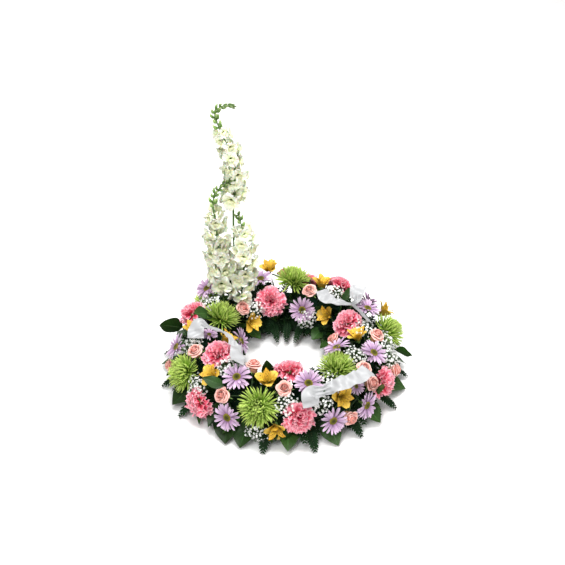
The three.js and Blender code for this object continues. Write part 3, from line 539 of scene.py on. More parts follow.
# Each look's material, with the stops of its colour ramp along the piece, each a place and a colour. mottle is
# the scale and the depth of its patches of light and dark, and bump the scale and strength of its fine bumps.
LOOKS = {
    "stem": dict(
        name="flower_stem", stops=[(0.0, 0.012, 0.035, 0.008), (1.0, 0.035, 0.085, 0.018)], roughness=0.5,
    ),
    "spike": dict(name="spike_stem", stops=[(0.0, 0.06, 0.14, 0.03), (1.0, 0.16, 0.26, 0.07)], roughness=0.5),
    "calyx": dict(name="green_calyx", stops=[(0.0, 0.12, 0.22, 0.05), (1.0, 0.20, 0.33, 0.09)], roughness=0.55),
    # Dark foot: painted shade deep in the head. Pale rim: part painted highlight, part the petals' own paler
    # edge.
    "carnation": dict(
        name="carnation_petals",
        stops=[
            (0.0, 0.40, 0.015, 0.04), (0.5, 0.76, 0.09, 0.17), (0.84, 0.94, 0.27, 0.37),
            (1.0, 0.98, 0.60, 0.66),
        ],
        roughness=0.7, subsurface=0.1, tint_range=0.16,
    ),
    # Dark foot of each needle: painted shade in the gaps deep in the head.
    "mum": dict(
        name="mum_needles", stops=[(0.0, 0.03, 0.09, 0.006), (0.45, 0.20, 0.36, 0.03), (1.0, 0.54, 0.67, 0.17)],
        roughness=0.6, specular=0.2, subsurface=0.05, tint_range=0.34,
    ),
    # Dark foot of each petal: painted shade towards the disc.
    "daisy": dict(
        name="daisy_petals", stops=[(0.0, 0.22, 0.10, 0.24), (0.4, 0.46, 0.30, 0.46), (1.0, 0.70, 0.54, 0.68)],
        roughness=0.62, subsurface=0.06, tint_range=0.2, detail=midline((0.30, 0.15, 0.34), 0.34, 0.62),
    ),
    "daisy_disc": dict(
        name="daisy_disc", stops=[(0.0, 0.05, 0.05, 0.01), (0.45, 0.14, 0.13, 0.015), (1.0, 0.42, 0.34, 0.03)],
        roughness=0.75,
    ),
    "alstroemeria": dict(
        name="alstroemeria_outer",
        stops=[(0.0, 0.26, 0.20, 0.02), (0.4, 0.58, 0.36, 0.03), (1.0, 0.80, 0.56, 0.09)],
        roughness=0.55, subsurface=0.05, tint_range=0.25, detail=midline((0.60, 0.30, 0.02), 0.25, 0.4),
    ),
    "alstroemeria_inner": dict(
        name="alstroemeria_inner",
        stops=[(0.0, 0.34, 0.27, 0.02), (0.5, 0.74, 0.50, 0.05), (1.0, 0.68, 0.38, 0.03)],
        roughness=0.55, subsurface=0.05, tint_range=0.2, detail=streaks,
    ),
    "anther": dict(name="anthers", stops=[(0.0, 0.16, 0.09, 0.03), (1.0, 0.25, 0.16, 0.05)], roughness=0.8),
    "rose": dict(
        name="rose_petals",
        stops=[
            (0.0, 0.62, 0.36, 0.20), (0.5, 0.74, 0.25, 0.20), (0.85, 0.84, 0.40, 0.34),
            (1.0, 0.89, 0.59, 0.53),
        ],
        roughness=0.65, subsurface=0.08, tint_range=0.12,
    ),
    "breath": dict(
        name="breath_blooms",
        stops=[(0.0, 0.50, 0.56, 0.42), (0.4, 0.90, 0.92, 0.88), (1.0, 0.97, 0.98, 0.96)],
        roughness=0.8, tint_range=0.06,
    ),
    "breath_twig": dict(name="breath_twigs", stops=[(0.0, 0.03, 0.07, 0.02), (1.0, 0.09, 0.16, 0.05)]),
    "snapdragon": dict(
        name="snapdragon_petals",
        stops=[(0.0, 0.72, 0.78, 0.42), (0.45, 0.84, 0.87, 0.66), (1.0, 0.87, 0.88, 0.81)],
        subsurface=0.3, tint_range=0.06,
    ),
    "palate": dict(
        name="snapdragon_throats", stops=[(0.0, 0.66, 0.68, 0.34), (1.0, 0.80, 0.81, 0.56)], roughness=0.7,
    ),
    "bud": dict(
        name="snapdragon_buds",
        stops=[(0.0, 0.04, 0.10, 0.02), (0.6, 0.15, 0.26, 0.06), (1.0, 0.42, 0.50, 0.22)],
        roughness=0.55, tint_range=0.6,
    ),
    "salal": dict(
        name="salal_leaves",
        stops=[(0.0, 0.012, 0.038, 0.006), (0.5, 0.018, 0.056, 0.008), (1.0, 0.020, 0.050, 0.008)],
        roughness=0.42, specular=0.22, tint_range=0.5, mottle=(60.0, 0.2), bump=(120.0, 0.35),
        detail=leaf_veins((0.06, 0.16, 0.04), 7, 0.5),
    ),
    # Near-black: the fern's own dark green, darkened further as painted shade for the gaps between the flowers.
    "fern": dict(
        name="fern_leaflets", stops=[(0.0, 0.003, 0.012, 0.004), (1.0, 0.007, 0.026, 0.007)], roughness=0.65,
        specular=0.08, tint_range=0.5, detail=midline((0.02, 0.06, 0.018), 0.14, 0.5),
    ),
    "ribbon": dict(
        name="white_satin", stops=[(0.0, 0.38, 0.385, 0.395), (1.0, 0.42, 0.425, 0.435)], roughness=0.34,
        sheen=0.1, specular=0.5, mottle=(40.0, 0.06), bump=(900.0, 0.05), tint_range=0.02,
    ),
    "wire": dict(name="pick_wire", stops=[(0.0, 0.04, 0.10, 0.04), (1.0, 0.05, 0.12, 0.05)], roughness=0.5),
    "foam": dict(
        name="wet_foam", stops=[(0.0, 0.004, 0.018, 0.009), (1.0, 0.007, 0.027, 0.013)], roughness=0.95,
        specular=0.1, mottle=(700.0, 0.4), bump=(1500.0, 0.8), tint_range=0.0,
    ),
    "tray": dict(
        name="tray_plastic", stops=[(0.0, 0.012, 0.03, 0.016), (1.0, 0.016, 0.035, 0.02)], roughness=0.4,
        mottle=(20.0, 0.1), bump=(900.0, 0.1), tint_range=0.0,
    ),
}


def make_material(*, name, stops, roughness=0.6, mottle=(90.0, 0.12), bump=(350.0, 0.15), sheen=0.0,
                  specular=0.35, subsurface=0.0, tint_range=0.22, detail=None):
    """A procedural material: colours along the piece, a pattern, mottled light and dark, and a fine bump."""
    nodes = Shading(name)
    color = nodes.ramp(nodes.number("along"), stops)
    if detail:
        color = detail(nodes, color)
    position = nodes.node("TexCoord", "Object", {})
    patches = nodes.ranged(nodes.noise(position, mottle[0], 3.0), 1.0 - mottle[1], 1.0 + mottle[1], 0.3, 0.7)
    tinted = nodes.ranged(nodes.number("tint"), 1.0 - tint_range, 1.0 + tint_range)
    value = nodes.math("MULTIPLY", patches, tinted)
    dents = {"Strength": bump[1], "Distance": BUMP_DEPTH, "Height": nodes.noise(position, bump[0], 4.0)}
    for socket, fed in {
        "Base Color": nodes.node("HueSaturation", "Color", {"Value": value, "Color": color}),
        "Normal": nodes.node("Bump", "Normal", dents),
        "Roughness": roughness,
        "Specular IOR Level": specular,
        "Sheen Weight": sheen,
        "Subsurface Weight": subsurface,
        "Subsurface Radius": SCATTER,
    }.items():
        nodes.feed(nodes.tree.nodes["Principled BSDF"].inputs[socket], fed)
    return nodes.material


MADE = {}


def material(look):
    """The material of a look, made when it is first asked for."""
    if look not in MADE:
        MADE[look] = make_material(**LOOKS[look])
    return MADE[look]


# Heads, each in its own frame, facing +Z from its calyx

def fan(v):
    """The width of a petal with a narrow foot and a broad, blunt end."""
    return np.clip(0.16 + 1.1 * np.clip(v - 0.12, 0, 1) ** 0.9, 0, 1) * np.where(v > 0.93, 0.94, 1.0)


def oval(v):
    return np.sin(np.pi * np.clip(0.10 + 0.86 * v, 0, 1)) ** 0.55


def strap(v):
    """A long petal: quickly wide, parallel, with a blunt end."""
    return np.clip(0.35 + 2.2 * v, 0, 1) * np.sqrt(np.clip(1 - ((v - 0.55) / 0.49) ** 4, 0.02, 1))


def pointed(v):
    """A sepal: widest at its foot, with a sharp tip."""
    return 1.02 - v**1.4


def carnation_head(piece, place, rng):
    """Crowded petals, upright in the middle and flat outside, with ruffled, toothed edges."""
    count = 50
    for k in range(count):
        share = (k + 0.5) / count
        lift = 86 - 90 * share**0.95 + rng.normal(0, 9)
        length = 20 + 8.5 * share + rng.normal(0, 1.3)
        add_petal(
            piece, "carnation", place, k * GOLDEN_ANGLE + rng.normal(0, 0.3),
            width=18 + 9 * share, length=length, lift=lift, curl=rng.normal(-12, 16), rows=8, columns=19,
            shape=fan, start=(1.0 + 2.5 * share, 4.0 - 2 * share), cup=rng.normal(0.1, 0.3),
            ruffle=(2.6 + 1.6 * rng.random(), 1.5 + 1.3 * rng.random(), 6.3 * rng.random()),
            round_end=0.12, teeth=0.07, frill=1.1, bend=1.8, tint=rng.random(),
        )
    add_calyx(piece, place, (-9, -6, 0, 6, 8), (2.4, 5.0, 6.6, 7.2, 6.4))


def mum_head(piece, place, rng):
    """Needles that curl in over the middle and spread out below, each flattened a little."""
    count = 300
    for k in range(count):
        share = (k + 0.5) / count
        lift = 88 - 96 * share**0.85 + rng.normal(0, 5)
        length = 25 + 9 * share + rng.normal(0, 2.2)
        curl = (62 - 34 * share) * rng.normal(1, 0.6)
        v, out, up, _ = curved(length, lift, curl, 6, 2.2)
        turn = k * GOLDEN_ANGLE + rng.normal(0, 0.06)
        drift = rng.normal(0, 3.0) * v**2
        radial = 2.0 + 4.0 * share + out
        path = np.column_stack([
            radial * np.cos(turn) - drift * np.sin(turn), radial * np.sin(turn) + drift * np.cos(turn),
            9 - 4 * share + up,
        ])
        wide = 1.0 + 0.4 * rng.random()
        radii = np.array([0.8, 1.0, 1.1, 1.1, 1.0, 0.15]) * wide
        add_tube(piece, path, radii, "mum", 4, rng.random(), (0.1, 0.2, 1.0), place=place, squash=0.62)
    add_calyx(piece, place, (-8, -3, 4, 9), (2.4, 5.0, 8.0, 7.0))


def add_disc(piece, place, size):
    """The daisy's middle: beads over a low dome with a dip, by the golden angle."""
    radius, height, base, dip = 7.0 * size, 3.6 * size, 13.4 * size, 1.2 * size
    bead, count = 1.15 * size, 120
    for k in range(count):
        share = np.sqrt((k + 0.5) / count)
        turn = k * GOLDEN_ANGLE
        lean = share * np.pi / 2
        middle = np.array([
            radius * np.sin(lean) * np.cos(turn), radius * np.sin(lean) * np.sin(turn),
            base + height * np.cos(lean) - dip * np.exp(-((share / 0.35) ** 2)),
        ])
        way = unit(np.array([np.sin(lean) * np.cos(turn) * 0.6, np.sin(lean) * np.sin(turn) * 0.6, 1.0]))
        path = [middle - way * bead * 0.6, middle + way * bead * 0.3, middle + way * bead]
        radii = [bead * 0.75, bead * 0.8, bead * 0.08]
        add_tube(piece, path, radii, "daisy_disc", 5, 0.5, (1.0, 0.1, 0.0), [share] * 3, place)


def daisy_head(piece, place, rng, size):
    """Two rows of petals round the disc. A small daisy is less open."""
    steeper = 1.3 if size < 1 else 1
    for layer, count in enumerate((20, 13)):
        for k in range(count):
            turn = 2 * np.pi * (k + 0.5 * layer) / count + rng.normal(0, 0.06)
            add_petal(
                piece, "daisy", place, turn, width=(4.4 + 0.7 * rng.random()) * size,
                length=(21.5 - layer + 2.0 * rng.random()) * size,
                lift=(12 + 10 * layer + rng.normal(0, 6)) * steeper, curl=rng.normal(-16, 12), rows=6,
                columns=5, shape=strap, start=(5.0 * size, 12.5 * size + 1.2 * layer), cup=0.28,
                notch=0.015, round_end=0.06, bend=1.4, tint=rng.random(), lean=rng.normal(0, 1.3),
            )
    add_disc(piece, place, size)
    add_calyx(piece, place, (-5, 2, 8, 12.5, 13.4), (1.8, 3.0, 6.2, 8.0, 5.5), size=size)


def alstroemeria_head(piece, place, rng, _size):
    """Three broad outer petals, three streaked inner ones and six stamens. All are of one size."""
    start = rng.random()
    for k in range(3):
        turn = start + 2 * np.pi * k / 3
        add_petal(
            piece, "alstroemeria", place, turn, width=21, length=27, lift=60 + rng.normal(0, 4),
            curl=-48 + rng.normal(0, 8), rows=9, columns=9, shape=oval, start=(2.0, -2.0), cup=0.2,
            ruffle=(1.0, 2.5, 6 * rng.random()), notch=0.04, bend=1.5, tint=rng.random(),
        )
        add_petal(
            piece, "alstroemeria_inner", place, turn + np.pi / 3, width=13.5, length=29,
            lift=68 + rng.normal(0, 4), curl=-42 + rng.normal(0, 8), rows=9, columns=7, shape=oval,
            start=(1.6, -1.0), cup=0.3, ruffle=(0.8, 2.0, 6 * rng.random()), round_end=0.10, bend=1.8,
            tint=rng.random(),
        )
    for k in range(6):
        turn = start + 0.4 + 2 * np.pi * k / 6
        _, out, up, _ = curved(24 + 2 * rng.random(), 78, -30, 6)
        path = np.column_stack([(1 + out) * np.cos(turn), (1 + out) * np.sin(turn), up])
        add_tube(piece, path, [0.5, 0.45, 0.4, 0.35, 0.35, 0.3], "alstroemeria", 4, place=place)
        anther = [path[-1] - [0, 0, 1.2], path[-1], path[-1] + [0, 0, 1.6]]
        add_tube(piece, anther, [0.5, 1.0, 0.2], "anther", 5, hint=ASIDE, place=place)
    add_calyx(piece, place, (-8, -5, -1, 3), (1.6, 3.2, 3.8, 2.2), 8)


def rose_head(piece, place, rng, _size):
    """Layers of petals that wrap each other, with rims that roll out more and more. All are of one size."""
    # How many petals, the radius at the foot and at the rim, the height, how far the rim rolls out, and how
    # many degrees round the middle a petal reaches.
    layers = [
        (2, 1.1, 1.4, 23.5, 0.0, 205), (3, 2.1, 2.8, 24.0, 0.3, 205), (3, 3.3, 4.3, 24.0, 0.7, 150),
        (4, 4.5, 6.1, 23.0, 1.2, 150), (4, 5.7, 8.0, 21.5, 1.9, 118), (5, 6.6, 10.0, 19.0, 2.7, 118),
        (5, 7.2, 11.8, 15.5, 3.3, 118),
    ]
    v = np.linspace(0, 1, 8)
    u = np.linspace(-1, 1, 9)
    edge = np.clip(np.sin(np.pi * (0.14 + 0.74 * v)) ** 0.5, 0.2, 1)
    tuck = 0.35 * (u[None, :] + 1) * (1 - 0.5 * v[:, None])
    for n, (count, foot, rim, tall, roll, reach) in enumerate(layers):
        spread = np.radians(reach / 2)
        belly = 1.5 * np.sin(np.pi * v) * (1 - n / 9)
        out = (foot + (rim - foot) * v**1.3 + belly)[:, None] - tuck
        for k in range(count):
            turn = 2 * np.pi * (k + 0.41 * n) / count + rng.normal(0, 0.15)
            angle = turn + spread * u[None, :] * edge[:, None]
            rolled = roll * (v[:, None] ** 5) * (0.8 + 0.5 * np.cos(2 * u[None, :] + rng.normal(0, 0.7)))
            drop = (0.10 * u[None, :] ** 2 * tall + 0.5 * rolled) * v[:, None] ** 3
            radial = out + rolled
            height = tall * np.sin(np.pi / 2 * v[:, None] ** 0.9) - drop
            points = np.stack([radial * np.cos(angle), radial * np.sin(angle), height], axis=-1)
            piece.add_grid(points, "rose", v, u, rng.random(), place)
    add_calyx(piece, place, (-8, -4, 0, 4), (1.7, 3.0, 5.0, 6.6), 10)
    for k in range(5):
        add_petal(
            piece, "calyx", place, 2 * np.pi * k / 5 + rng.normal(0, 0.1), width=4.0, length=13, lift=48,
            curl=-70, rows=6, columns=3, shape=lambda w: 1 - w**1.5 + 0.02, start=(6.6, 1.0), cup=0.2,
            tint=rng.random(),
        )


def floret_template():
    """A double bloom of baby's breath: two whorls of five blunt petals."""
    points, faces, along = [(0.0, 0.0, 0.9)], [], [0.3]
    for reach, height, shift in ((1.0, 0.15, 0.0), (0.62, 0.75, 0.6)):
        for k in range(5):
            turn = 2 * np.pi * k / 5 + shift
            base = len(points)
            for side, out, up in ((-0.30, 0.35, 0.3), (-0.42, 1.0, 0.15), (0.42, 1.0, 0.15), (0.30, 0.35, 0.3)):
                x, y = side * out * 1.25, out
                points.append((
                    reach * (y * np.cos(turn) - x * np.sin(turn)),
                    reach * (y * np.sin(turn) + x * np.cos(turn)), height + up,
                ))
                along.append(0.5 if out < 0.5 else 1.0)
            faces.append((base, base + 1, base + 2, base + 3))
    return np.array(points), np.array(faces), np.array(along)


FLORET = floret_template()


def breath_puff(piece, place, rng):
    """A ball of tiny double blooms on thin twigs."""
    points, faces, along = FLORET
    count = 86
    for k in range(count):
        lean = 1.25 * np.sqrt((k + 0.5) / count)
        turn = k * GOLDEN_ANGLE + rng.normal(0, 0.2)
        way = np.array([np.sin(lean) * np.cos(turn), np.sin(lean) * np.sin(turn), np.cos(lean)])
        reach = 17 + 11 * rng.random() * (0.6 + 0.4 * np.cos(lean))
        end = way * reach + rng.normal(0, 1.0, 3)
        middle = way * reach * 0.5 + rng.normal(0, 1.0, 3)
        add_tube(piece, [(0, 0, -3), middle, end], [0.4, 0.3, 0.2], "breath_twig", 3, rng.random(), place=place)
        face = unit(way + rng.normal(0, 0.35, 3))
        own, _ = frame_on(end, face, np.array([0.3, 1.0, 0.1]))
        size = 1.6 + 0.8 * rng.random()
        piece.add(points * size @ own.T + end, faces, "breath", along, 0.0, rng.random(), place)


# Stems

def seeded(kind, k):
    return np.random.default_rng(SEEDS[kind] + k)


def stem_path(start, fork, end):
    """A stem that leaves its root straight, bends at the fork and comes to the calyx."""
    points = np.array([start, start + (fork - start) * 0.6, fork, fork + (end - fork) * 0.55, end])
    return smooth_path(points, 12)


def add_stems(piece, fork, ends, radius, look):
    """A stem from the foam to the first end, which forks on its way to the others."""
    root, knot = on_ring(fork[0], fork[1], ROOT_OUT), on_ring(*fork)
    for n, end in enumerate(ends):
        path = stem_path(root, knot, end) if n == 0 else smooth_path([knot, (knot + end) / 2, end], 6)
        add_tube(piece, path, radius if n == 0 else radius * 0.85, look, 6, 0.4)


def add_blooms(kind, places, head, radius):
    """One head on each stem."""
    for k, (around, over) in enumerate(places):
        rng = seeded(kind, k)
        piece = Piece(f"{kind}_{k + 1}_bloom", [kind, "calyx", "stem"])
        tilt = rng.normal(0, 0.06, 2)
        head(piece, head_frame(around, over, HEAD_OUT, tilt), rng)
        path = [on_ring(around, over, out) for out in (ROOT_OUT, 30, 45, HEAD_OUT - CALYX_BELOW)]
        add_tube(piece, path, radius, "stem", 8, 0.4)
        piece.build(f"{kind}_{k + 1}", slot=f"{kind}_petal")


def spelled_out(around, over, size=1.0, out=HEAD_OUT, face=None):
    """A head with what its entry leaves out."""
    return around, over, size, out, face or (around, over)


def add_sprays(kind, sprays, head, radius, looks):
    """Several heads on each branching stem."""
    for k, (fork, entries) in enumerate(sprays):
        rng = seeded(kind, k)
        piece = Piece(f"{kind}_spray_{k + 1}_blooms", looks)
        heads = [spelled_out(*entry) for entry in entries]
        ends = [
            on_ring(around, over, out) - outward(*face) * CALYX_BELOW for around, over, _, out, face in heads
        ]
        add_stems(piece, fork, ends, radius, "stem")
        for around, over, size, out, face in heads:
            head(piece, head_frame(around, over, out, rng.normal(0, 0.05, 2), face), rng, size)
        piece.build(f"{kind}_spray_{k + 1}", slot=f"{kind}_petal")


def add_breath():
    for k, (fork, puffs) in enumerate(BREATH):
        rng = seeded("breath", k)
        piece = Piece(f"breath_spray_{k + 1}_blooms", ["breath", "breath_twig"])
        ends = [on_ring(*puff, BREATH_OUT) - outward(*puff) * 3 for puff in puffs]
        add_stems(piece, fork, ends, 1.0, "breath_twig")
        for puff in puffs:
            breath_puff(piece, head_frame(*puff, BREATH_OUT), rng)
        piece.build(f"breath_spray_{k + 1}", slot="breath_bloom")


# Snapdragons

def snapdragon_floret(piece, place, size, rng, openness):
    """A two-lipped floret along +Z, its upper lip towards +Y, with its mouth closed by the palate."""
    tint = rng.random()
    v = np.linspace(0, 1, 6)
    path = np.column_stack([0 * v, -1.5 * size * np.sin(np.pi * v), 10.5 * size * v])
    radii = size * np.array([1.8, 3.4, 4.4, 4.8, 4.6, 4.4])
    add_tube(piece, path, radii, "snapdragon", 9, tint, ASIDE, along=0.35 + 0.4 * v, place=place)
    # The lobes of both lips: their turn, width, length, lift and curl.
    for turn, width, length, lift, curl in (
        (60, 15, 13.5, 62, -52), (120, 15, 13.5, 62, -52), (200, 13, 11.5, 20, -66), (270, 14, 12.0, 14, -76),
        (340, 13, 11.5, 20, -66),
    ):
        add_petal(
            piece, "snapdragon", place, np.radians(turn + rng.normal(0, 8)), width=width * size,
            length=length * size * (0.6 + 0.4 * openness), lift=lift + rng.normal(0, 12),
            curl=curl * openness + rng.normal(0, 14), rows=7, columns=9, shape=oval,
            start=(2.4 * size, 9.6 * size), cup=0.2,
            ruffle=(2.2 * size, 1.6 + 1.4 * rng.random(), 6 * rng.random()), frill=0.7, bend=1.2, tint=tint,
        )
    for side in (-1.9, 1.9):
        path = np.array([(side, -2.6, 8.0), (side, -2.0, 10.6), (side, -1.5, 12.6), (side, -1.2, 13.6)]) * size
        add_tube(piece, path, np.array([1.6, 3.0, 2.6, 0.3]) * size, "palate", 8, tint, ASIDE, place=place)
    for k in range(5):
        add_petal(
            piece, "bud", place, 2 * np.pi * k / 5, width=3.0 * size, length=5.0 * size, lift=72, curl=-20,
            rows=4, columns=3, shape=pointed, start=(1.5 * size, 0.2), cup=0.2, tint=0.3 + 0.3 * tint,
        )


def snapdragon_bud(piece, at, side, way, size, tint):
    """A pointed bud held close to the spike, with a small bract."""
    tip = at + side * 8.0 * size + way * 10.5 * size
    middle = at + side * 5.4 * size + way * 3.6 * size
    tip[2] = min(tip[2], BUD_TOP)
    middle[2] = min(middle[2], BUD_TOP)
    path = smooth_path([at, middle, tip], 8)
    add_tube(piece, path, np.array([0.7, 1.5, 2.4, 2.8, 2.6, 1.9, 1.1, 0.15]) * size, "bud", 8, tint)
    add_petal(
        piece, "stem", frame_on(at, way, side), 0.0, width=2.4 * size, length=5.5 * size, lift=40, curl=-20,
        rows=4, columns=3, shape=lambda w: 1.02 - w**1.3, start=(0.8, -1.0), cup=0.2, tint=0.6,
    )


def spike_path(route):
    """A spike's stem. The highest one hangs down a little at its tip."""
    path = smooth_path(route, 160)
    path[:, 2] -= TIP_DROP * np.clip((path[:, 2] - DROP_FROM) / DROP_OVER, 0, 1)
    return path


def add_snapdragons():
    """Florets up the lower part of each spike, smaller and less open towards the top, and buds above them."""
    for k, ((low, high), route, largest, pedicel) in enumerate(SNAPDRAGONS):
        rng = seeded("snapdragon", k)
        piece = Piece(f"snapdragon_{k + 1}_spike", ["snapdragon", "palate", "bud", "stem", "spike"])
        path = spike_path(route)
        steps = travelled(path)
        length = steps[-1]
        radii = np.interp(steps, [0, length * 0.6, length], [2.4, 2.1, 0.8])
        add_tube(piece, path, radii, "spike", 8, 0.5, ASIDE)
        ahead = directions(path)
        first = steps[np.argmax(path[:, 2] > low)]
        last = steps[np.argmax(path[:, 2] > high - 1)]
        turn, along = 0.0, first
        while along < length - 2:
            n = min(int(np.searchsorted(steps, along)), len(path) - 1)
            at, way = path[n], ahead[n]
            turn += GOLDEN_ANGLE
            side = np.array([np.cos(turn), np.sin(turn), 0.0])
            side = unit(side - way * (side @ way))
            if along < last:
                share = (along - first) / (last - first)
                size = largest - 0.48 * share + 0.14 * rng.random()
                z = unit(side + way * (0.34 - 0.2 * share) + rng.normal(0, 0.24, 3))
                foot = at + side * (1.2 + pedicel * rng.random())
                add_tube(piece, [at, (at + foot) / 2, foot], [0.9, 0.8, 1.2], "bud", 5, 0.3)
                snapdragon_floret(piece, frame_on(foot, z, np.cross(way, z)), size, rng, 1.0 - 0.5 * share**3)
                along += 6.0 + 1.2 * rng.random()
            else:
                share = (along - last) / (length - last)
                size = 1.15 - 0.42 * share + 0.1 * rng.random()
                snapdragon_bud(piece, at, side, way, size, 0.95 - 0.95 * share)
                along += 4.2 - 2.0 * share
        if k == 0:
            add_spike_leaves(piece, path)
        piece.build(f"snapdragon_{k + 1}", slot="snapdragon_petal")


def add_spike_leaves(piece, path):
    """Three narrow leaves on the bare stem of the tallest spike."""
    for share in (0.40, 0.47, 0.53):
        add_petal(
            piece, "stem", frame_on(path[int(share * len(path))], UP, ASIDE), 20 * share, width=5, length=20,
            lift=58, curl=-50, rows=7, columns=3,
            shape=lambda w: np.sin(np.pi * np.clip(0.08 + 0.9 * w, 0, 1)) ** 0.7, cup=0.2, tint=0.6,
        )


# Foliage

def between(rng, low, high):
    return low + (high - low) * rng.random()


def nearly_up(rng, spread):
    return unit(UP + rng.normal(0, spread, 3))


def outer_or_inner(radius):
    """1 on the outer side of the ring, and -1 on its inner side."""
    return 1 if radius > HEART_RADIUS else -1


def arched(start, end, facing, arch, count):
    """A bow from start to end, towards the side that it faces."""
    middle = (start + end) / 2 + facing * arch
    v = np.linspace(0, 1, count)[:, None]
    return (1 - v) ** 2 * start + 2 * v * (1 - v) * middle + v**2 * end


def leaf_outline(v):
    """A broad oval leaf with a drawn-out point."""
    body = np.sin(np.pi * np.clip(v, 0, 1) ** 0.82) ** 0.75
    return np.clip(body * (1 - 0.35 * v**4), 0.0, 1)


def add_leaf(piece, start, end, half_width, facing, rng, arch=4.0):
    """A salal leaf from its foot to its tip, arched towards the side it faces, waved along its edges."""
    rows, columns, stalk = 15, 9, 12
    facing = unit(facing)
    path = arched(start, end, facing, arch, rows)
    _, normal, cross = frames_along(path, facing)
    v = np.linspace(0, 1, rows)
    u = np.linspace(-1, 1, columns)
    half = half_width * 1.04 * leaf_outline(v) + 0.15
    wave = 0.9 * np.sin(v[:, None] * (9 + 3 * rng.random()) + 2.5 * np.sign(u)[None, :] + 6 * rng.random())
    teeth = 1 + 0.02 * ((np.arange(rows) % 2)[:, None] * (np.abs(u)[None, :] > 0.9))
    offset = LEAF_FOLD * half[:, None] * np.abs(u)[None, :] ** 1.3 + wave * np.abs(u)[None, :] ** 3
    aside = half[:, None] * u[None, :] * teeth
    points = path[:, None] + cross[:, None] * aside[..., None] + normal[:, None] * offset[..., None]
    piece.add_grid(points, "salal", v, u, rng.random())
    add_tube(piece, path[:stalk] - normal[:stalk] * 0.45, np.linspace(0.9, 0.3, stalk), "stem", 5, 0.4)


def add_twig(piece, places, radius, height, thickness):
    """A twig round the ring past the feet of its leaves, held in the foam by one short root."""
    first = places[0]
    turns = sorted((p - first) % 360 + first if (p - first) % 360 < 180 else p for p in places)
    path = smooth_path([at_radius(turn, radius, height) for turn in turns], 6 * len(turns))
    add_tube(piece, path, thickness, "stem", 6, 0.3)
    middle = turns[len(turns) // 2]
    root = at_radius(middle, HEART_RADIUS + outer_or_inner(radius) * ROOT_OUT, height)
    add_tube(piece, [root, at_radius(middle, radius, height)], thickness, "stem", 6, 0.3)


def add_salal(name, twigs, shape):
    radius, height, reach, droop, width = shape
    for k, (leaves, uppers) in enumerate(twigs):
        rng = seeded(name, k)
        piece = Piece(f"{name}_{k + 1}_leaves", ["salal", "stem"])
        add_twig(piece, [*leaves, *(upper[0] for upper in uppers)], radius, height, 1.5)
        for turn in leaves:
            far = radius + outer_or_inner(radius) * reach * (0.83 + 0.055 * rng.random())
            tip = at_radius(turn + rng.normal(0, 3.5), far, height - droop * (0.6 + 0.4 * rng.random()))
            facing = nearly_up(rng, 0.16)
            half = width * (0.95 + 0.4 * rng.random())
            add_leaf(piece, at_radius(turn, radius, height), tip, half, facing, rng)
        for start, foot, tip, half, *face in uppers:
            begin, end = on_ring(*foot), on_ring(*tip)
            facing = outward(*(face[0] if face else ((foot[0] + tip[0]) / 2, (foot[1] + tip[1]) / 2)))
            origin = at_radius(start, radius, height)
            add_tube(piece, [origin, (origin + begin) / 2, begin], 1.2, "stem", 6, 0.4)
            add_leaf(piece, begin, end, half, facing, rng)
        piece.build(f"{name}_{k + 1}", slot="salal_leaf")


def add_frond(piece, start, end, width, arch, rng, pairs, facing=UP):
    """A fern frond: leaflets in pairs, each cut into small lobes, shorter towards the tip."""
    path = arched(start, end, facing, arch, 3 * pairs)
    ahead, normal, cross = frames_along(path, facing)
    add_tube(piece, path, np.linspace(0.9, 0.25, len(path)), "stem", 5, 0.3)
    tint = rng.random()
    rows = 7
    v = np.linspace(0, 1, rows)
    u = np.linspace(-1, 1, 3)
    lobes = 1 + 0.28 * (np.arange(rows) % 2)
    for k in range(pairs):
        n = int((k + 0.6) / pairs * (len(path) - 1))
        share = n / (len(path) - 1)
        reach = width * 1.12 * np.sin(np.pi * (0.2 + 0.72 * share)) ** 0.9 + 1.0
        half = 0.25 * reach * (1 - v) ** 0.6 * lobes * np.clip(0.55 + 3 * v, 0, 1) + 0.1
        rise = 0.25 * half[:, None] * np.abs(u)[None, :] - 0.10 * reach * v[:, None] ** 2
        for sign in (-1, 1):
            way = unit(cross[n] * sign + ahead[n] * (0.55 + 0.5 * share) + normal[n] * rng.normal(0.05, 0.08))
            flat = unit(ahead[n] - way * (ahead[n] @ way))
            up = np.cross(way, flat) * sign
            points = (
                path[n] + (way * reach)[None, None] * v[:, None, None]
                + flat[None, None] * (half[:, None] * u[None, :])[..., None]
                + up[None, None] * rise[..., None]
            )
            piece.add_grid(points, "fern", v, u, tint)


def add_fern(name, twigs, shape, pairs):
    radius, height, reach, droop, width, arch = shape
    far = radius + outer_or_inner(radius) * reach
    for k, places in enumerate(twigs):
        rng = seeded(name, k)
        piece = Piece(f"{name}_{k + 1}_fronds", ["fern", "stem"])
        add_twig(piece, places, radius, height, 1.2)
        for turn in places:
            foot, tip = at_radius(turn, radius, height), at_radius(turn, far, height - droop)
            add_frond(piece, foot, tip, width, arch, rng, pairs)
        piece.build(f"{name}_{k + 1}", slot="fern_leaf")


def add_standing_sprigs(piece, first, rng):
    """Sprigs that stand between the stems and hide the foam. One whose tip would be too low is left out."""
    for _ in range(STANDING):
        around = first + COVER_PART * rng.random()
        over = between(rng, -14, 196)
        root = on_ring(around, over, SPRIG_ROOT_OUT)
        lean = rng.normal(0, 0.4)
        way = unit(outward(around, over) + lean * onward(around) + [0, 0, 0.15])
        tip = root + way * between(rng, 22, 36)
        if tip[2] < SPRIG_LOWEST:
            continue
        facing = unit(np.cross(way, rng.normal(0, 1, 3)))
        if rng.random() < 0.7:
            add_frond(piece, root, tip, between(rng, 7, 10), 2.0, rng, 6, facing)
        else:
            add_leaf(piece, root + way * 5, tip, between(rng, 6, 10), facing, rng, 2.0)


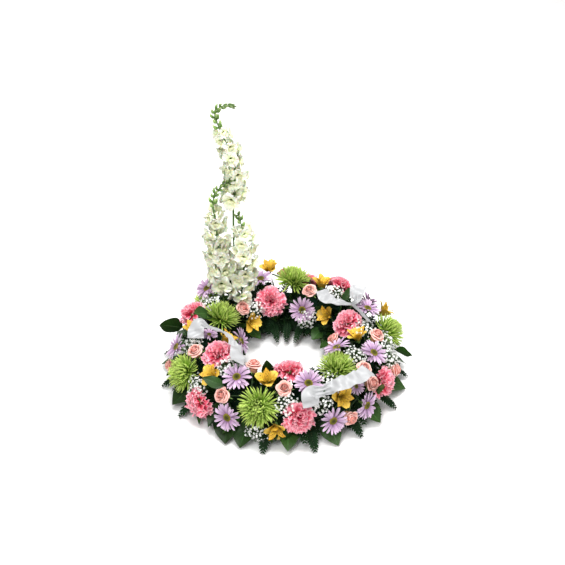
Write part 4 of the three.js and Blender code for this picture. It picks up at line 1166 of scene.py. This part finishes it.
def add_lying_sprigs(
    piece, first, rng, *, count, radius, heights, stray, tip_radii, tip_heights, fern, frond_widths, arch,
    leaf_widths, tilt,
):
    """Sprigs that lie over the skirt, or hang over the edge of the hole."""
    for k in range(count):
        around = first + COVER_PART * (k + rng.random()) / count
        foot = at_radius(around, radius, between(rng, *heights))
        tip = at_radius(around + rng.normal(0, stray), between(rng, *tip_radii), between(rng, *tip_heights))
        if rng.random() < fern:
            add_frond(piece, foot, tip, between(rng, *frond_widths), arch, rng, 9)
        else:
            add_leaf(piece, foot, tip, between(rng, *leaf_widths), nearly_up(rng, tilt), rng)


def add_cover():
    """Small fern and leaves between the flowers, over the skirt and round the hole."""
    for part in range(round(360 / COVER_PART)):
        rng = seeded("cover", part)
        piece = Piece(f"cover_foliage_{part + 1}", ["fern", "salal", "stem"])
        add_standing_sprigs(piece, COVER_PART * part, rng)
        for sprigs in LYING:
            add_lying_sprigs(piece, COVER_PART * part, rng, **sprigs)
        piece.build(slot="fern_leaf")


# Ribbon

def satin_strip(piece, stations, phase):
    """One length of satin, pleated where it is gathered, with soft folds across it. Returns its length."""
    rows, columns = 8 * (len(stations) - 1) + 1, 25
    path = smooth_path([on_ring(*station[:3]) for station in stations], rows)
    places = np.linspace(0, len(stations) - 1, rows)
    around, over, roll, width = (
        np.interp(places, range(len(stations)), [station[n] for station in stations]) for n in (0, 1, 3, 4)
    )
    ahead = directions(path)
    normal = np.array([outward(a, o) for a, o in zip(around, over)])
    normal -= ahead * np.sum(normal * ahead, axis=1)[:, None]
    normal /= np.linalg.norm(normal, axis=1)[:, None]
    across = np.cross(ahead, normal)
    c, s = np.cos(np.radians(roll))[:, None], np.sin(np.radians(roll))[:, None]
    across, normal = across * c - normal * s, normal * c + across * s
    u = np.linspace(-1, 1, columns)
    travel = travelled(path)
    pleat = np.sqrt(np.clip(PLEATED_BELOW**2 - width**2, 0, None)) / (4 * PLEATS)
    fold = pleat[:, None] * np.sin(PLEATS * np.pi * u)[None, :]
    loose = (width / RIBBON_WIDTH)[:, None]
    soft = 2.3 * np.sin(travel[:, None] / 4.9 + 1.4 * u[None, :] + phase) * loose
    soft = soft + 1.0 * np.sin(travel[:, None] / 2.6 - 2.4 * u[None, :]) * loose
    bow = 0.9 * (1 - u**2)[None, :] * loose
    points = (
        path[:, None] + across[:, None] * (u[None, :] * width[:, None] / 2)[..., None]
        + normal[:, None] * (fold + soft + bow)[..., None]
    )
    piece.add_grid(points, "ribbon", travel / travel[-1], u, 0.5)
    return travel[-1]


def pick_wire(name, pick, knot):
    """The wire that holds a ribbon: a pick in the foam, twisted round the knot."""
    piece = Piece(name, ["wire"])
    root, crook, end = on_ring(*pick, ROOT_OUT), on_ring(*pick, 44), on_ring(*knot)
    add_tube(piece, smooth_path([root, crook, end], 12), 0.8, "wire", 6)
    twist = [end + 2.0 * np.array([np.cos(t), np.sin(t), 0.16 * t - 0.8]) for t in np.linspace(0, 12, 40)]
    add_tube(piece, twist, 0.5, "wire", 5)
    return piece.build(slot="satin_ribbon")


def add_ribbons():
    for k, (pick, knot, paths) in enumerate(RIBBONS):
        piece = Piece(f"ribbon_{k + 1}_satin", ["ribbon"])
        length = sum(satin_strip(piece, stations, 2.1 * k + n) for n, stations in enumerate(paths))
        satin = piece.build(f"ribbon_{k + 1}", slot="satin_ribbon")
        wire = pick_wire(f"ribbon_{k + 1}_pick", pick, knot)


# Camera, floor and light, in metres

def add_floor():
    """A pale floor just under the tray."""
    floor = bpy.data.meshes.new("floor")
    size = FLOOR_SIZE
    corners = [(-size, -size, 0), (size, -size, 0), (size, size, 0), (-size, size, 0)]
    floor.from_pydata(corners, [], [(0, 1, 2, 3)])
    made = bpy.data.materials.new("pale_floor")
    made.use_nodes = True
    shader = made.node_tree.nodes["Principled BSDF"]
    shader.inputs["Base Color"].default_value = FLOOR_COLOR
    shader.inputs["Roughness"].default_value = 0.9
    floor.materials.append(made)
    piece = bpy.data.objects.new("floor", floor)
    piece.location.z = FLOOR_HEIGHT
    bpy.context.scene.collection.objects.link(piece)


def add_lights():
    world = bpy.data.worlds.new("studio")
    bpy.context.scene.world = world
    world.use_nodes = True
    background = world.node_tree.nodes["Background"]
    background.inputs["Color"].default_value = SKY_COLOR
    background.inputs["Strength"].default_value = SKY_STRENGTH
    bpy.context.scene.view_settings.view_transform = "Standard"
    for name, place, aim, size, power in SOFTBOXES:
        light = bpy.data.lights.new(name, "AREA")
        light.shape = "SQUARE"
        light.size = size
        light.energy = power
        lamp = bpy.data.objects.new(name, light)
        lamp.location = place
        way = np.array(aim) - np.array(place)
        flat = np.hypot(way[0], way[1])
        lamp.rotation_euler = (np.arctan2(flat, -way[2]), 0.0, np.arctan2(way[1], way[0]) - np.pi / 2)
        bpy.context.scene.collection.objects.link(lamp)


def add_camera():
    camera = bpy.data.cameras.new("camera")
    camera.sensor_width = 36.0
    camera.lens = FOCAL_LENGTH
    camera.clip_start = 0.05
    lens = bpy.data.objects.new("camera", camera)
    lens.location = CAMERA_PLACE
    lens.rotation_euler = (np.radians(90 - CAMERA_PITCH), 0.0, 0.0)
    bpy.context.scene.collection.objects.link(lens)
    bpy.context.scene.camera = lens


def dress(node, look):
    """A better material on a CAD node that stays."""
    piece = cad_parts[node]
    piece.data.materials.clear()
    piece.data.materials.append(material(look))


add_camera()
add_floor()
add_lights()
dress("foam", "foam")
dress("tray", "tray")
add_blooms("carnation", CARNATIONS, carnation_head, 2.1)
add_blooms("mum", MUMS, mum_head, 2.2)
add_sprays("daisy", DAISIES, daisy_head, 1.6, ["daisy", "daisy_disc", "calyx", "stem"])
add_sprays(
    "alstroemeria", ALSTROEMERIAS, alstroemeria_head, 1.6,
    ["alstroemeria", "alstroemeria_inner", "anther", "calyx", "stem"],
)
add_sprays("rose", ROSES, rose_head, 1.6, ["rose", "calyx", "stem"])
add_breath()
add_snapdragons()
add_salal("salal_skirt", SKIRT_TWIGS, SKIRT)
add_salal("salal_inner", INNER_TWIGS, INNER)
add_fern("fern_skirt", FERN_TWIGS, FERN, 13)
add_fern("fern_inner", INNER_FRONDS, INNER_FERN, 12)
add_cover()
add_ribbons()
